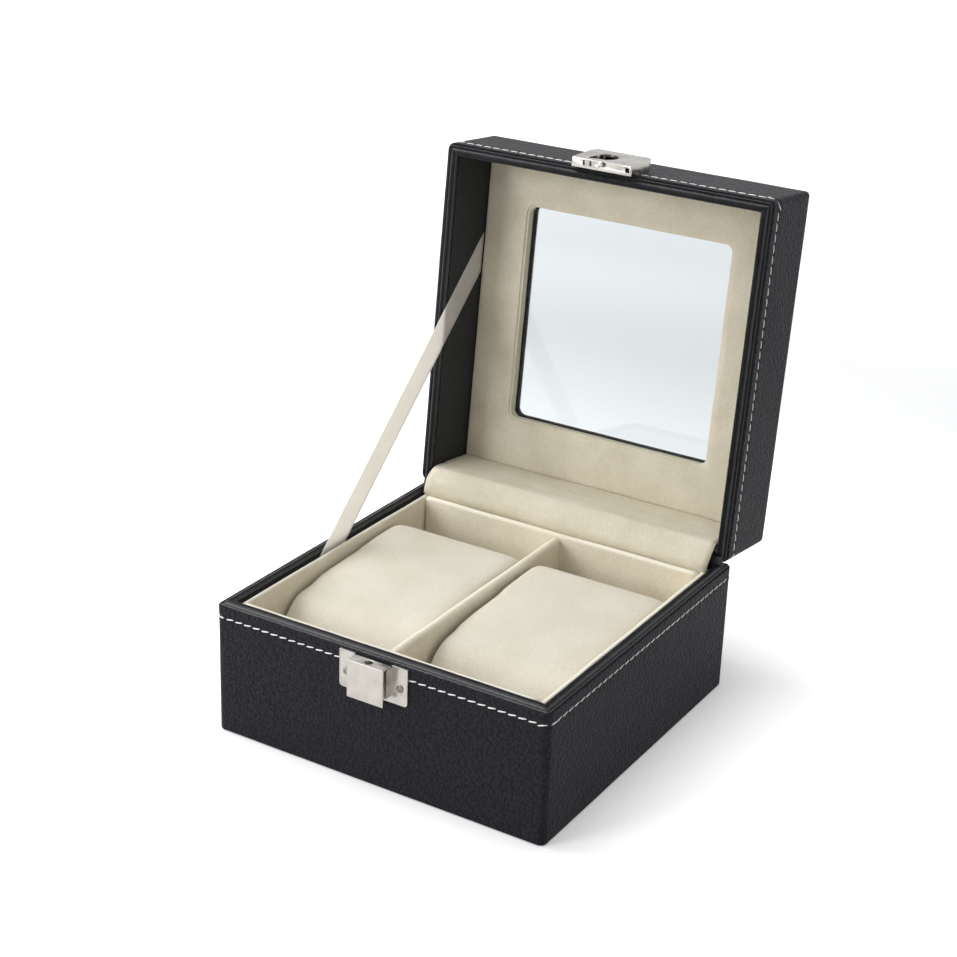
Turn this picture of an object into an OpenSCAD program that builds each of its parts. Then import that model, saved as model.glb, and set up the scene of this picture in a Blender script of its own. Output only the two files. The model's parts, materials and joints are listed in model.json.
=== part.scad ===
// Watch travel case: a leather-covered box with a hinged, glazed lid, a spring clasp,
// two velvet watch pillows and a ribbon that stops the lid. Drawn with the lid open.
// Millimetres. The origin is the middle of the underside, +Z is up and -Y is the front.

/* [Case] */
// Width of the case, left to right
case_w = 130; // [118:1:180]
// Depth of the case, front to back
case_d = 130; // [124:1:160]
// Height of the base up to its shoulder, where the padded rim begins
base_h = 48.1; // [47:0.1:60]
// Height of the lid from its shoulder to its top
lid_h = 31.3; // [29:0.1:40]
// Radius of the upright corners
corner_r = 2.6; // [2.2:0.1:3.6]
// Radius of the lid's top outside edge
lid_edge_r = 1.6; // [1.1:0.1:2]
// Radius of the base's bottom outside edge
foot_edge_r = 0.8; // [0.3:0.1:0.8]

/* [Boards and leather] */
// Thickness of the leather on the outside
leather_t = 0.9; // [0.9:0.1:1.2]
// Thickness of the base's wall boards
base_board_t = 3.8; // [3.6:0.1:4.5]
// Thickness of the base's floor board
floor_t = 3; // [2:0.1:3.6]
// Thickness of the dark lining inside the lid's walls
dark_lining_t = 0.8; // [0.5:0.1:1.2]
// Thickness of the sheet under the floor and of the leather turned under it
sheet_t = 0.6; // [0.5:0.1:0.8]
// Width of the leather turned under the floor
turn_under = 10; // [8:0.5:20]

/* [Padded rims] */
// Height of each padded rim above its shoulder
rim_h = 1.2; // [1:0.05:1.3]
// How far the side of each padded rim reaches past its shoulder
rim_foot = 0.8; // [0.5:0.1:1.2]
// How far the padded rims stop short of the walls' inside faces
rim_inset = 0.2; // [0.1:0.05:0.4]
// How far the padded rims are set in from the outside faces, which leaves a narrow ledge of leather
rim_step = 0.5; // [0.3:0.05:0.7]
// Gap between the two rims when the case is shut
rim_gap = 0.4; // [0.3:0.05:0.6]

/* [Velvet linings] */
// Thickness of the velvet-covered lining cards
card_t = 2.4; // [1.6:0.1:3]
// Pocket between the walls and the cards, where the ribbon is held
pocket_t = 0.6; // [0.5:0.1:1]
// How far the tops of the cards lie below the base's shoulder
card_drop = 0.9; // [0.6:0.1:3]
// Space behind the back card, where the hinge strip and the flap are held
flap_space = 1.9; // [1.9:0.1:3]
// Thickness of the lining on the floor
floor_lining_t = 1.2; // [0.8:0.1:2]
// Thickness of the divider
divider_t = 3.4; // [2.4:0.1:6]
// How far the top of the divider lies below the tops of the cards
divider_drop = 1.2; // [0.2:0.1:4]

/* [Watch pillows] */
// Length of a pillow, front to back
pillow_l = 94.5; // [84:0.5:98]
// How far a pillow's crown lies below the top of the divider
pillow_drop = 0.3; // [0.3:0.1:3]
// Gap between a pillow and the walls of its slot
pillow_gap = 0.5; // [0.4:0.05:1]
// Gap between a pillow and the card in front of it
pillow_front_gap = 1.3; // [0.5:0.1:4]
// Gap between a pillow and the floor
pillow_rest_gap = 0.3; // [0.3:0.05:0.5]
// Thickness of a pillow's velvet cover
cover_t = 1; // [0.8:0.1:1.5]
// Width of the seam under a pillow
seam_w = 0.4; // [0.3:0.1:1]

/* [Glazed lid] */
// Depth from the lid's shoulder to the velvet panel inside it
panel_depth = 23; // [20:0.1:23.5]
// Thickness of the panel around the window
panel_t = 5.2; // [4:0.1:5.2]
// Gap between the panel and the lining around it
panel_gap = 0.4; // [0.2:0.1:0.6]
// Thickness of the glass
glass_t = 1.6; // [1.5:0.1:2.5]
// How far the glass reaches past the window on each side
glass_lap = 4; // [3:0.1:6]
// Clearance around the glass in its rebate
glass_gap = 0.2; // [0.1:0.05:0.5]
// Width of the window
window_w = 83; // [60:1:88]
// Length of the window, front to back
window_d = 82; // [60:1:88]
// How far the window's middle lies behind the lid's middle
window_shift = -1.5; // [-3:0.1:3]
// Radius of the window's corners
window_r = 3; // [2:0.1:6]

/* [Hinge and stay] */
// Distance of the hinge line in from the back of the case
hinge_in = 2.55; // [2.45:0.05:2.65]
// Height of the hinge line above the base's shoulder
hinge_up = 4.3; // [4.2:0.05:4.4]
// Angle to which the lid is open
open_angle = 96; // [92:1:97]
// Thickness of the leather hinge strip
strip_t = 0.6; // [0.4:0.1:0.6]
// Thickness of the velvet flap
flap_t = 0.8; // [0.6:0.1:0.8]
// How far the velvet flap stops short of the side walls' linings
flap_side_gap = 1.1; // [0.6:0.1:3]
// How far the velvet flap reaches down behind the back card
flap_tail = 9.5; // [6:0.5:16]
// How far the hinge strip stops short of the side cards
strip_side_gap = 0.5; // [0.3:0.1:3]
// Length of the hinge strip that is glued inside the lid
strip_lap = 14; // [8:0.5:20]
// Width of the stay ribbon
ribbon_w = 10; // [6:0.5:12]
// Thickness of the stay ribbon
ribbon_t = 0.3; // [0.2:0.05:0.35]
// Length of the ribbon's end held in the pocket
ribbon_tail = 12; // [8:0.5:20]
// Place of the ribbon along the base, behind the middle
ribbon_base_y = -4; // [-15:0.5:10]
// Place of the ribbon along the shut lid, behind the middle
ribbon_lid_y = -22; // [-35:0.5:-5]

/* [Clasp] */
// Width of the clasp's plate on the base
latch_w = 26.6; // [25:0.2:34]
// Height of the clasp's plate on the base
latch_h = 13.5; // [13:0.1:16]
// How far the clasp's top lies below the base's shoulder
latch_drop = 0.5; // [0.4:0.05:0.8]
// Radius of the lower corners of the clasp's plate
latch_corner_r = 1.2; // [0.4:0.1:2.5]
// Thickness of the clasp's sheet metal
latch_t = 0.8; // [0.6:0.05:0.9]
// Width of the button
button_w = 14.1; // [13.4:0.1:16]
// Thickness of the button's face
button_t = 0.8; // [0.6:0.05:1]
// Thickness of the button's top
button_top_t = 0.6; // [0.5:0.05:0.8]
// Distance of the button's face in front of the case
button_out = 5.6; // [5.5:0.1:6.4]
// Travel of the button
button_travel = 1; // [0.9:0.05:1.05]
// Radius of the catch hole in the button's top
catch_r = 1.4; // [1.35:0.05:1.45]
// Height of the housing's side walls
cheek_h = 10.2; // [9:0.1:11]
// Radius of the guide pin behind the button
guide_r = 0.9; // [0.7:0.05:0.95]
// Clearance around the guide pin
guide_clear = 0.05; // [0.04:0.01:0.08]
// Thickness of the spring's wire
wire_t = 0.5; // [0.4:0.05:0.5]
// Radius of the spring to the middle of its wire
spring_r = 1.75; // [1.6:0.05:2.2]
// Turns of the spring
spring_turns = 5; // [3:0.5:5]
// Radius of the rivets' heads
rivet_head_r = 1.35; // [1.1:0.05:1.6]
// Radius of the rivets' shanks
rivet_r = 0.6; // [0.4:0.05:0.7]

/* [Hasp] */
// Width of the hasp on the lid
hasp_w = 24; // [22:0.2:30]
// Height of the hasp on the lid
hasp_h = 18.2; // [17:0.2:20]
// Thickness of the hasp at its lip
hasp_lip = 3.3; // [3.25:0.05:3.6]
// Thickness of the hasp at its far end
hasp_far = 4.6; // [4.2:0.1:5.5]
// Thickness of the hasp's walls
hasp_wall = 0.9; // [0.8:0.05:1]
// Radius of the hasp's far corners
hasp_corner_r = 3.6; // [2:0.1:4]
// Width of the bevel along the hasp's far edge
hasp_bevel = 1.2; // [0.6:0.1:1.6]
// Gap between the hasp's lip and the clasp when the case is shut
hasp_gap = 0.2; // [0.2:0.05:0.5]
// Radius of the striker pin's shank
striker_r = 0.7; // [0.65:0.05:0.75]
// Radius of the striker pin's head
head_r = 1; // [0.95:0.05:1]
// Radius of the striker pin's neck
neck_r = 0.55; // [0.45:0.05:0.55]
// Height of the striker pin's head
head_h = 0.9; // [0.8:0.1:1.2]

/* [Hidden] */
$fn = 64;

// Halves of the case and the faces of its walls, as distances from the middle
half_w = case_w / 2;
half_d = case_d / 2;
rim_w = leather_t + base_board_t;
in_w = half_w - rim_w;
in_d = half_d - rim_w;
board_corner_r = corner_r - leather_t;
lid_board_t = base_board_t - dark_lining_t;
strip_w = rim_w - rim_inset - rim_step;
rim_r = (strip_w * strip_w / 4 + rim_h * rim_h) / (2 * rim_h);

// Heights in the base
floor_top = sheet_t + floor_t;
lining_top = floor_top + floor_lining_t;
card_top = base_h - card_drop;
divider_top = card_top - divider_drop;
wall_top = base_h - rim_foot;
pillow_h = divider_top - pillow_drop - lining_top - pillow_rest_gap;

// Heights in the lid when it is shut
lid_shoulder = base_h + 2 * rim_h + rim_gap;
lid_foot = lid_shoulder + rim_foot;
lid_top = lid_shoulder + lid_h;
lid_top_board_t = lid_top - leather_t - lid_shoulder - panel_depth - panel_t;
panel_z = lid_shoulder + panel_depth;
top_board_z = panel_z + panel_t;
glass_z = top_board_z - glass_t;

// The linings and the slots between them
card_out_x = in_w - pocket_t;
card_in_x = card_out_x - card_t;
card_front_y = -in_d + pocket_t;
slot_front_y = card_front_y + card_t;
card_back_y = in_d - flap_space;
slot_back_y = card_back_y - card_t;
slot_w = card_in_x - divider_t / 2;

// The hinge line
hinge_y = half_d - hinge_in;
hinge_z = base_h + hinge_up;
lay_gap = 0.05;
fold_gap = 0.2;

// The clasp
front_y = -half_d;
plate_y = front_y - latch_t;
latch_top = base_h - latch_drop;
latch_z = latch_top - latch_h;
play = 0.2;
button_front_y = front_y - button_out;
button_back_y = button_front_y + button_t;
button_edge_y = front_y - button_travel - play / 2;
catch_rim = 0.6;
catch_y = button_edge_y - catch_rim - catch_r;
cheek_top = latch_top - button_top_t - play;
cheek_front_y = button_back_y + button_travel + play;
cheek_t = 0.8;
guide_z = latch_z + latch_h / 2;
guide_l = button_out - button_t + 0.5;
guide_bore_l = button_travel + 1.2;
rivet_x = (latch_w + button_w) / 4 + 0.3;
rivet_z = latch_z + latch_h * 0.44;
rivet_l = leather_t + 2.4;
rivet_head_t = 0.5;
dimple_r = rivet_head_r * 0.37;

// The hasp and the striker pin
hasp_z = latch_top + hasp_gap;
striker_offset = catch_r + 0.3 - head_r;
striker_y = catch_y + striker_offset;
stud_r = 0.9;
stud_x = 8.4;
stud_z = hasp_z + hasp_h * 0.7;
stud_depth = 2.2;

// Points along a cubic curve
function curve_points(p0, p1, p2, p3, n) =
    [for (i = [0:n]) let (t = i / n, s = 1 - t)
        s * s * s * p0 + 3 * s * s * t * p1 + 3 * s * t * t * p2 + t * t * t * p3];

// Unit direction square to a path at one of its points
function across(path, i) =
    let (a = path[max(i - 1, 0)], b = path[min(i + 1, len(path) - 1)], d = (b - a) / norm(b - a))
    [-d[1], d[0]];

// Outline of a band of thickness t along a path
function band(path, t) = concat(
    [for (i = [0:len(path) - 1]) path[i] + across(path, i) * t / 2],
    [for (i = [len(path) - 1:-1:0]) path[i] - across(path, i) * t / 2]);

// Where a point [y, z] of the shut lid lies once the lid is open
function opened(p) = let (y = p[0] - hinge_y, z = p[1] - hinge_z, c = cos(open_angle), s = sin(open_angle))
    [hinge_y + y * c + z * s, hinge_z - y * s + z * c];

// Turns what is drawn in the shut position to the open one
module lid_open() {
    translate([0, hinge_y, hinge_z])
        rotate([-open_angle, 0, 0])
            translate([0, -hinge_y, -hinge_z])
                children();
}

// Rectangle with round corners
module round_rect(w, d, r) {
    square([w - 2 * r, d], center = true);
    square([w, d - 2 * r], center = true);
    for (x = [-1, 1], y = [-1, 1])
        translate([x * (w / 2 - r), y * (d / 2 - r)])
            circle(r);
}

// Upright slab with round corners, between two heights
module slab(w, d, r, z0, z1) {
    translate([0, 0, z0])
        linear_extrude(z1 - z0)
            round_rect(w, d, r);
}

// Straight bar between two corners
module bar(low, high) {
    translate(low)
        cube(high - low);
}

// Board across the front of the case, thickness t, with the case's round corners at its ends
module end_board(t, z0, z1) {
    translate([0, 0, z0])
        linear_extrude(z1 - z0)
            intersection() {
                round_rect(case_w - 2 * leather_t, case_d - 2 * leather_t, board_corner_r);
                translate([-half_w, -half_d])
                    square([case_w, leather_t + t]);
            }
}

// Board along the right side of the case, thickness t, between the front and rear boards
module side_board(t, z0, z1) {
    bar([half_w - leather_t - t, -half_d + leather_t + t, z0], [half_w - leather_t, half_d - leather_t - t, z1]);
}

// Carries a profile around the outside of the case: its x runs inwards from the face, its y upwards
module around_case() {
    for (turn = [0, 180])
        rotate([0, 0, turn]) {
            translate([-half_w + corner_r, -half_d, 0])
                rotate([90, 0, 90])
                    linear_extrude(case_w - 2 * corner_r)
                        children();
            translate([-half_w, half_d - corner_r, 0])
                rotate([90, 0, 0])
                    linear_extrude(case_d - 2 * corner_r)
                        children();
        }
    for (k = [0:3])
        translate([(k == 0 || k == 3 ? 1 : -1) * (half_w - corner_r), (k < 2 ? 1 : -1) * (half_d - corner_r), 0])
            rotate([0, 0, 90 * k])
                rotate_extrude(angle = 90)
                    translate([corner_r, 0])
                        mirror([1, 0])
                            children();
}

// Profile of the base's outside leather, round at its foot
module base_leather_profile() {
    intersection() {
        translate([foot_edge_r, foot_edge_r])
            circle(foot_edge_r);
        square(foot_edge_r);
    }
    translate([foot_edge_r, 0])
        square([leather_t - foot_edge_r, wall_top]);
    translate([0, foot_edge_r])
        square([leather_t, wall_top - foot_edge_r]);
}

// Profile of the lid's outside leather, round at its top
module lid_leather_profile() {
    translate([0, lid_foot])
        square([leather_t, lid_top - lid_edge_r - lid_foot]);
    intersection() {
        translate([lid_edge_r, lid_top - lid_edge_r])
            circle(lid_edge_r);
        translate([0, lid_top - lid_edge_r])
            square([lid_edge_r, lid_edge_r]);
        union() {
            translate([0, lid_top - lid_edge_r])
                square([leather_t, lid_edge_r]);
            translate([0, lid_top - leather_t])
                square([lid_edge_r, leather_t]);
        }
    }
}

// Profile of a padded rim, outwards from its inside face and upwards from the shoulder
module rim_profile() {
    intersection() {
        translate([rim_inset + strip_w / 2, rim_h - rim_r])
            circle(rim_r);
        translate([rim_inset, -rim_foot])
            square([strip_w, rim_foot + rim_h]);
    }
}

// The rim's strip on one side, mitred at both ends: 0 front, 1 right, 2 rear, 3 left
module rim_side(k) {
    across_d = k % 2 == 0;
    inside = across_d ? in_d : in_w;
    l = across_d ? in_w : in_d;
    intersection() {
        rotate([0, 0, 90 * k])
            translate([-l - rim_w, -inside, 0])
                rotate([90, 0, 90])
                    linear_extrude(2 * (l + rim_w))
                        mirror([1, 0])
                            rim_profile();
        rotate([0, 0, 90 * k])
            translate([0, -inside, -rim_foot])
                linear_extrude(rim_foot + rim_h)
                    polygon([[-l, 0], [l, 0], [l + rim_w, -rim_w], [-l - rim_w, -rim_w]]);
        slab(case_w - 2 * rim_step, case_d - 2 * rim_step, corner_r - rim_step, -rim_foot, rim_h);
    }
}

module base_rim(k) {
    color("#33343a")
        translate([0, 0, base_h])
            rim_side(k);
}

module lid_rim(k) {
    color("#33343a")
        lid_open()
            translate([0, 0, lid_shoulder])
                mirror([0, 0, 1])
                    rim_side(k);
}

// Upright card with a round top edge, along x, standing on the ground plane
module card(l, t, h) {
    translate([-l / 2, 0, 0])
        rotate([90, 0, 90])
            linear_extrude(l) {
                translate([-t / 2, 0])
                    square([t, h - t / 2]);
                translate([0, h - t / 2])
                    circle(t / 2);
            }
}

// ---- Base ----

// Holes for the clasp's rivets and for the end of its guide pin
module clasp_holes() {
    for (x = [-rivet_x, rivet_x])
        translate([x, front_y + rivet_l, rivet_z])
            rotate([90, 0, 0])
                cylinder(h = rivet_l + latch_t, r = rivet_r);
    translate([0, front_y + guide_bore_l, guide_z])
        rotate([90, 0, 0])
            cylinder(h = guide_bore_l, r = guide_r + 2 * play);
}

module base_floor_board() {
    color("tan")
        bar([-in_w, -in_d, sheet_t], [in_w, in_d, floor_top]);
}

module base_front_board() {
    color("tan")
        difference() {
            end_board(base_board_t, sheet_t, wall_top);
            clasp_holes();
        }
}

module base_rear_board() {
    color("tan")
        mirror([0, 1, 0])
            end_board(base_board_t, sheet_t, wall_top);
}

module base_left_board() {
    color("tan")
        mirror([1, 0, 0])
            side_board(base_board_t, sheet_t, wall_top);
}

module base_right_board() {
    color("tan")
        side_board(base_board_t, sheet_t, wall_top);
}

module base_wrap() {
    color("#2b2c30")
        difference() {
            union() {
                around_case()
                    base_leather_profile();
                slab(case_w - 2 * leather_t, case_d - 2 * leather_t, board_corner_r, 0, sheet_t);
            }
            slab(case_w - 2 * turn_under, case_d - 2 * turn_under, corner_r, -1, sheet_t + 1);
            clasp_holes();
        }
}

module base_underside_sheet() {
    color("#232325")
        slab(case_w - 2 * turn_under, case_d - 2 * turn_under, corner_r, 0, sheet_t);
}

module floor_lining() {
    color("#d8d0bd")
        bar([-card_in_x, slot_front_y, floor_top], [card_in_x, slot_back_y, lining_top]);
}

module front_lining() {
    color("#dcd6c4")
        translate([0, card_front_y + card_t / 2, floor_top])
            card(2 * card_in_x, card_t, card_top - floor_top);
}

module rear_lining() {
    color("#dcd6c4")
        translate([0, card_back_y - card_t / 2, floor_top])
            card(2 * card_in_x, card_t, card_top - floor_top);
}

// Side card, from the front pocket to the rear face of the back card
module side_card() {
    l = card_back_y - card_front_y;
    translate([card_out_x - card_t / 2, card_front_y + l / 2, floor_top])
        rotate([0, 0, 90])
            card(l, card_t, card_top - floor_top);
}

module left_lining() {
    color("#dcd6c4")
        mirror([1, 0, 0])
            side_card();
}

module right_lining() {
    color("#dcd6c4")
        side_card();
}

module divider() {
    l = slot_back_y - slot_front_y;
    color("#dcd6c4")
        translate([0, slot_front_y + l / 2, lining_top])
            rotate([0, 0, 90])
                card(l, divider_t, divider_top - lining_top);
}

// ---- Hinge and stay, which bend between the base and the lid ----

// Sheet bent along a path in the y-z plane, w wide and t thick
module bent_sheet(path, w, t) {
    translate([-w / 2, 0, 0])
        rotate([90, 0, 90])
            linear_extrude(w)
                polygon(band(path, t));
}

module hinge_strip() {
    glued_y = in_d - lay_gap - strip_t / 2;
    start = opened([glued_y, lid_shoulder + 0.3]);
    end = [glued_y, card_top + 0.4];
    path = concat(
        [opened([glued_y, lid_shoulder + strip_lap])],
        curve_points(start, start + [-2.9, 0.3], end + [-2.5, 4.4], end, 16),
        [end - [0, strip_lap]]);
    color("#1d1d20")
        bent_sheet(path, 2 * (card_in_x - strip_side_gap), strip_t);
}

module hinge_flap() {
    lid_y = in_d - 2 * lay_gap - strip_t - flap_t / 2;
    base_y = card_back_y + fold_gap + flap_t / 2;
    start = opened([lid_y, lid_shoulder + 0.4]);
    end = [base_y, card_top];
    path = concat(
        [opened([lid_y, panel_z - fold_gap])],
        curve_points(start, start + [-3.8, 0.8], end + [-3.1, 5], end, 16),
        [end - [0, flap_tail]]);
    color("#dcd6c4")
        bent_sheet(path, 2 * (card_out_x - flap_side_gap), flap_t);
}

// Ribbon between the base's left wall and the lid's left wall, in one flat plane
module stay_ribbon() {
    low = [ribbon_base_y, card_top];
    high = opened([ribbon_lid_y, panel_z - fold_gap]);
    run = (high - low) / norm(high - low);
    side = [-run[1], run[0]] * ribbon_w / 2;
    foot = low - run * ribbon_tail;
    panel_dir = opened([1, 0]) - opened([0, 0]);
    cut = ribbon_w / 2 / abs(run[1] * panel_dir[0] - run[0] * panel_dir[1]);
    color("#e6dfcd")
        translate([-in_w + lay_gap, 0, 0])
            rotate([90, 0, 90])
                linear_extrude(ribbon_t)
                    polygon([foot - side, foot + side, high - panel_dir * cut, high + panel_dir * cut]);
}

// ---- Clasp on the base ----

// Plate with two wings and two side walls that guide the button
module latch_housing() {
    inner_x = button_w / 2 - cheek_t;
    color("#d0ccc6")
        difference() {
            union() {
                translate([0, front_y, latch_z])
                    rotate([90, 0, 0])
                        linear_extrude(latch_t) {
                            translate([-latch_w / 2, latch_corner_r])
                                square([latch_w, latch_h - latch_corner_r]);
                            translate([-latch_w / 2 + latch_corner_r, 0])
                                square([latch_w - 2 * latch_corner_r, latch_corner_r]);
                            for (x = [-1, 1])
                                translate([x * (latch_w / 2 - latch_corner_r), latch_corner_r])
                                    circle(latch_corner_r);
                        }
                for (x = [-inner_x - cheek_t, inner_x])
                    bar([x, cheek_front_y, cheek_top - cheek_h], [x + cheek_t, plate_y, cheek_top]);
            }
            bar([-button_w / 2 - play, plate_y - 1, cheek_top], [button_w / 2 + play, front_y + 1, latch_top + 1]);
            for (x = [-rivet_x, rivet_x])
                translate([x, front_y + 1, rivet_z])
                    rotate([90, 0, 0])
                        cylinder(h = latch_t + 2, r = rivet_r);
            translate([0, front_y + 1, guide_z])
                rotate([90, 0, 0])
                    cylinder(h = latch_t + 2, r = guide_r + guide_clear);
        }
}

module latch_rivets() {
    color("#b9b5ae")
        for (x = [-rivet_x, rivet_x])
            translate([x, plate_y, rivet_z])
                rotate([90, 0, 0])
                    difference() {
                        union() {
                            cylinder(h = rivet_head_t, r1 = rivet_head_r, r2 = rivet_head_r * 0.85);
                            translate([0, 0, -rivet_l - latch_t])
                                cylinder(h = rivet_l + latch_t, r = rivet_r);
                        }
                        translate([0, 0, rivet_head_t / 2])
                            cylinder(h = rivet_head_t, r = dimple_r);
                    }
}

// Button: a face in front of the housing and a top over it, with the catch hole in the top
module latch_button() {
    color("#d6d2cb")
        difference() {
            union() {
                bar([-button_w / 2, button_front_y, latch_z], [button_w / 2, button_back_y, latch_top]);
                bar([-button_w / 2, button_back_y, latch_top - button_top_t],
                    [button_w / 2, button_edge_y, latch_top]);
            }
            translate([0, catch_y, latch_top - button_top_t - 1])
                cylinder(h = button_top_t + 2, r = catch_r);
        }
}

module latch_guide_pin() {
    color("#9a9da1")
        translate([0, button_back_y, guide_z])
            rotate([-90, 0, 0])
                cylinder(h = guide_l, r = guide_r);
}

// Coil spring around the guide pin, between the plate and the button
module latch_spring() {
    ring = 8;
    steps = 16 * spring_turns;
    coil_l = plate_y - button_back_y - wire_t - 2 * lay_gap;
    start_y = button_back_y + lay_gap + wire_t / 2;
    points = [for (i = [0:steps], j = [0:ring - 1])
        let (a = 360 * spring_turns * i / steps, b = 360 * j / ring, r = spring_r + wire_t / 2 * cos(b))
            [r * cos(a), start_y + coil_l * i / steps + wire_t / 2 * sin(b), guide_z + r * sin(a)]];
    sides = [for (i = [0:steps - 1], j = [0:ring - 1])
        let (k = (j + 1) % ring)
            [i * ring + j, i * ring + k, (i + 1) * ring + k, (i + 1) * ring + j]];
    first = [for (j = [ring - 1:-1:0]) j];
    last = [for (j = [0:ring - 1]) steps * ring + j];
    color("#8f9296")
        polyhedron(points, concat(sides, [first, last]), convexity = 6);
}

// ---- Lid, drawn shut and turned open ----

module window_slab(grow, z0, z1) {
    translate([0, window_shift, 0])
        slab(window_w + 2 * grow, window_d + 2 * grow, window_r + grow, z0, z1);
}

// Studs of the hasp, and the holes they fill in the lid's front wall
module hasp_studs(l) {
    for (x = [-stud_x, stud_x])
        translate([x, front_y + leather_t + stud_depth, stud_z])
            rotate([90, 0, 0])
                cylinder(h = l, r = stud_r);
}

module lid_top_board() {
    color("tan")
        lid_open()
            difference() {
                slab(case_w - 2 * leather_t, case_d - 2 * leather_t, board_corner_r,
                     top_board_z, top_board_z + lid_top_board_t);
                window_slab(leather_t, top_board_z - 1, lid_top);
            }
}

module lid_front_board() {
    color("tan")
        lid_open()
            difference() {
                end_board(lid_board_t, lid_foot, top_board_z);
                hasp_studs(leather_t + stud_depth + 0.8);
            }
}

module lid_rear_board() {
    color("tan")
        lid_open()
            mirror([0, 1, 0])
                end_board(lid_board_t, lid_foot, top_board_z);
}

module lid_left_board() {
    color("tan")
        lid_open()
            mirror([1, 0, 0])
                side_board(lid_board_t, lid_foot, top_board_z);
}

module lid_right_board() {
    color("tan")
        lid_open()
            side_board(lid_board_t, lid_foot, top_board_z);
}

module lid_wrap() {
    color("#2f3034")
        lid_open()
            difference() {
                union() {
                    around_case()
                        lid_leather_profile();
                    slab(case_w - 2 * lid_edge_r, case_d - 2 * lid_edge_r, corner_r - lid_edge_r,
                         lid_top - leather_t, lid_top);
                    window_slab(leather_t, top_board_z, lid_top - leather_t / 2);
                }
                window_slab(0, top_board_z - 1, lid_top + 1);
                hasp_studs(leather_t + stud_depth + 0.8);
            }
}

// Dark lining on the inside of the lid's walls
module lid_side_lining() {
    color("#202124")
        lid_open()
            difference() {
                bar([-in_w - dark_lining_t, -in_d - dark_lining_t, lid_foot],
                    [in_w + dark_lining_t, in_d + dark_lining_t, top_board_z]);
                bar([-in_w, -in_d, lid_foot - 1], [in_w, in_d, top_board_z + 1]);
            }
}

module lid_panel() {
    color("#d8d1bd")
        lid_open()
            difference() {
                bar([-in_w + panel_gap, -in_d + panel_gap, panel_z], [in_w - panel_gap, in_d - panel_gap, top_board_z]);
                window_slab(0, panel_z - 1, glass_z + 1);
                window_slab(glass_lap, glass_z, top_board_z + 1);
            }
}

module window_glass() {
    color("#e6ebee", 0.4)
        lid_open()
            window_slab(glass_lap - glass_gap, glass_z, top_board_z);
}

// Outer form of the hasp, or its hollow when it is drawn smaller by a wall
module hasp_form(wall) {
    w = hasp_w - 2 * wall;
    h = hasp_h - wall;
    r = hasp_corner_r - wall / 2;
    lip_r = 0.6;
    intersection() {
        translate([-hasp_w, 0, 0])
            rotate([90, 0, 90])
                linear_extrude(2 * hasp_w)
                    polygon([[front_y, hasp_z + wall],
                             [front_y - hasp_lip + wall, hasp_z + wall],
                             [front_y - hasp_far + wall, hasp_z + hasp_h - wall - hasp_bevel],
                             [front_y - hasp_far + wall + hasp_bevel, hasp_z + hasp_h - wall],
                             [front_y, hasp_z + hasp_h - wall]]);
        translate([0, front_y, hasp_z])
            rotate([90, 0, 0])
                linear_extrude(2 * hasp_far) {
                    translate([-w / 2, lip_r])
                        square([w, h - r - lip_r]);
                    translate([-w / 2 + lip_r, 0])
                        square([w - 2 * lip_r, h - r]);
                    translate([-w / 2 + r, 0])
                        square([w - 2 * r, h]);
                    for (x = [-1, 1]) {
                        translate([x * (w / 2 - r), h - r])
                            circle(r);
                        translate([x * (w / 2 - lip_r), lip_r])
                            circle(lip_r);
                    }
                }
    }
}

// Drop-shaped opening in the hasp's face: a round eye with its point to the lower left
module drop_shape(grow) {
    eye_r = 3.6;
    eye = [-2.4, 7.2];
    tip = [-6.6, 2.2];
    run = tip - eye;
    lean = acos(eye_r / norm(run));
    turn = atan2(run[1], run[0]);
    round_points = [for (i = [0:32]) let (a = turn + lean + (360 - 2 * lean) * i / 32)
        eye + (eye_r + grow) * [cos(a), sin(a)]];
    polygon(concat(round_points, [tip + grow * 1.5 * run / norm(run)]));
}

// The drop shape carried through the hasp
module drop_prism(grow) {
    translate([0, front_y, hasp_z])
        rotate([90, 0, 0])
            linear_extrude(2 * hasp_far)
                drop_shape(grow);
}

module hasp_plate() {
    slit_h = 1.8;
    slits = [[-6.9, 0.8], [-4.3, 0.8], [10.3, 1.6]];
    face_slot = [4, 0.7];
    face_slot_at = [3.6, 2.9];
    slit_y = front_y - hasp_lip + 0.5;
    color("#d8d5cf")
        lid_open()
            difference() {
                union() {
                    difference() {
                        hasp_form(0);
                        hasp_form(hasp_wall);
                    }
                    intersection() {
                        hasp_form(0);
                        drop_prism(hasp_wall);
                    }
                    intersection() {
                        hasp_form(0);
                        hasp_studs(hasp_far + 10);
                    }
                    hasp_studs(leather_t + stud_depth);
                }
                drop_prism(0);
                for (s = slits)
                    bar([s[0] - s[1] / 2, slit_y, hasp_z - 1],
                        [s[0] + s[1] / 2, slit_y + slit_h, hasp_z + hasp_wall + 0.1]);
                translate([face_slot_at[0], front_y - 2 * hasp_far, hasp_z + face_slot_at[1]])
                    cube([face_slot[0], 2 * hasp_far - hasp_lip + hasp_wall + 0.4, face_slot[1]]);
                translate([0, striker_y, hasp_z - 1])
                    cylinder(h = hasp_wall + 1, r = striker_r);
            }
}

// Pin that drops into the catch hole: shank in the hasp's lip, neck and tapered head
module hasp_striker() {
    neck_foot = latch_top - button_top_t - 0.1;
    foot_r = head_r * 0.5;
    color("#a8aaad")
        lid_open()
            translate([0, striker_y, 0])
                rotate_extrude()
                    polygon([[0, neck_foot - head_h],
                             [foot_r, neck_foot - head_h],
                             [head_r, neck_foot - 0.3],
                             [head_r, neck_foot],
                             [neck_r, neck_foot],
                             [neck_r, hasp_z],
                             [striker_r, hasp_z],
                             [striker_r, hasp_z + hasp_wall],
                             [0, hasp_z + hasp_wall]]);
}

// ---- Watch pillows ----

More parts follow.
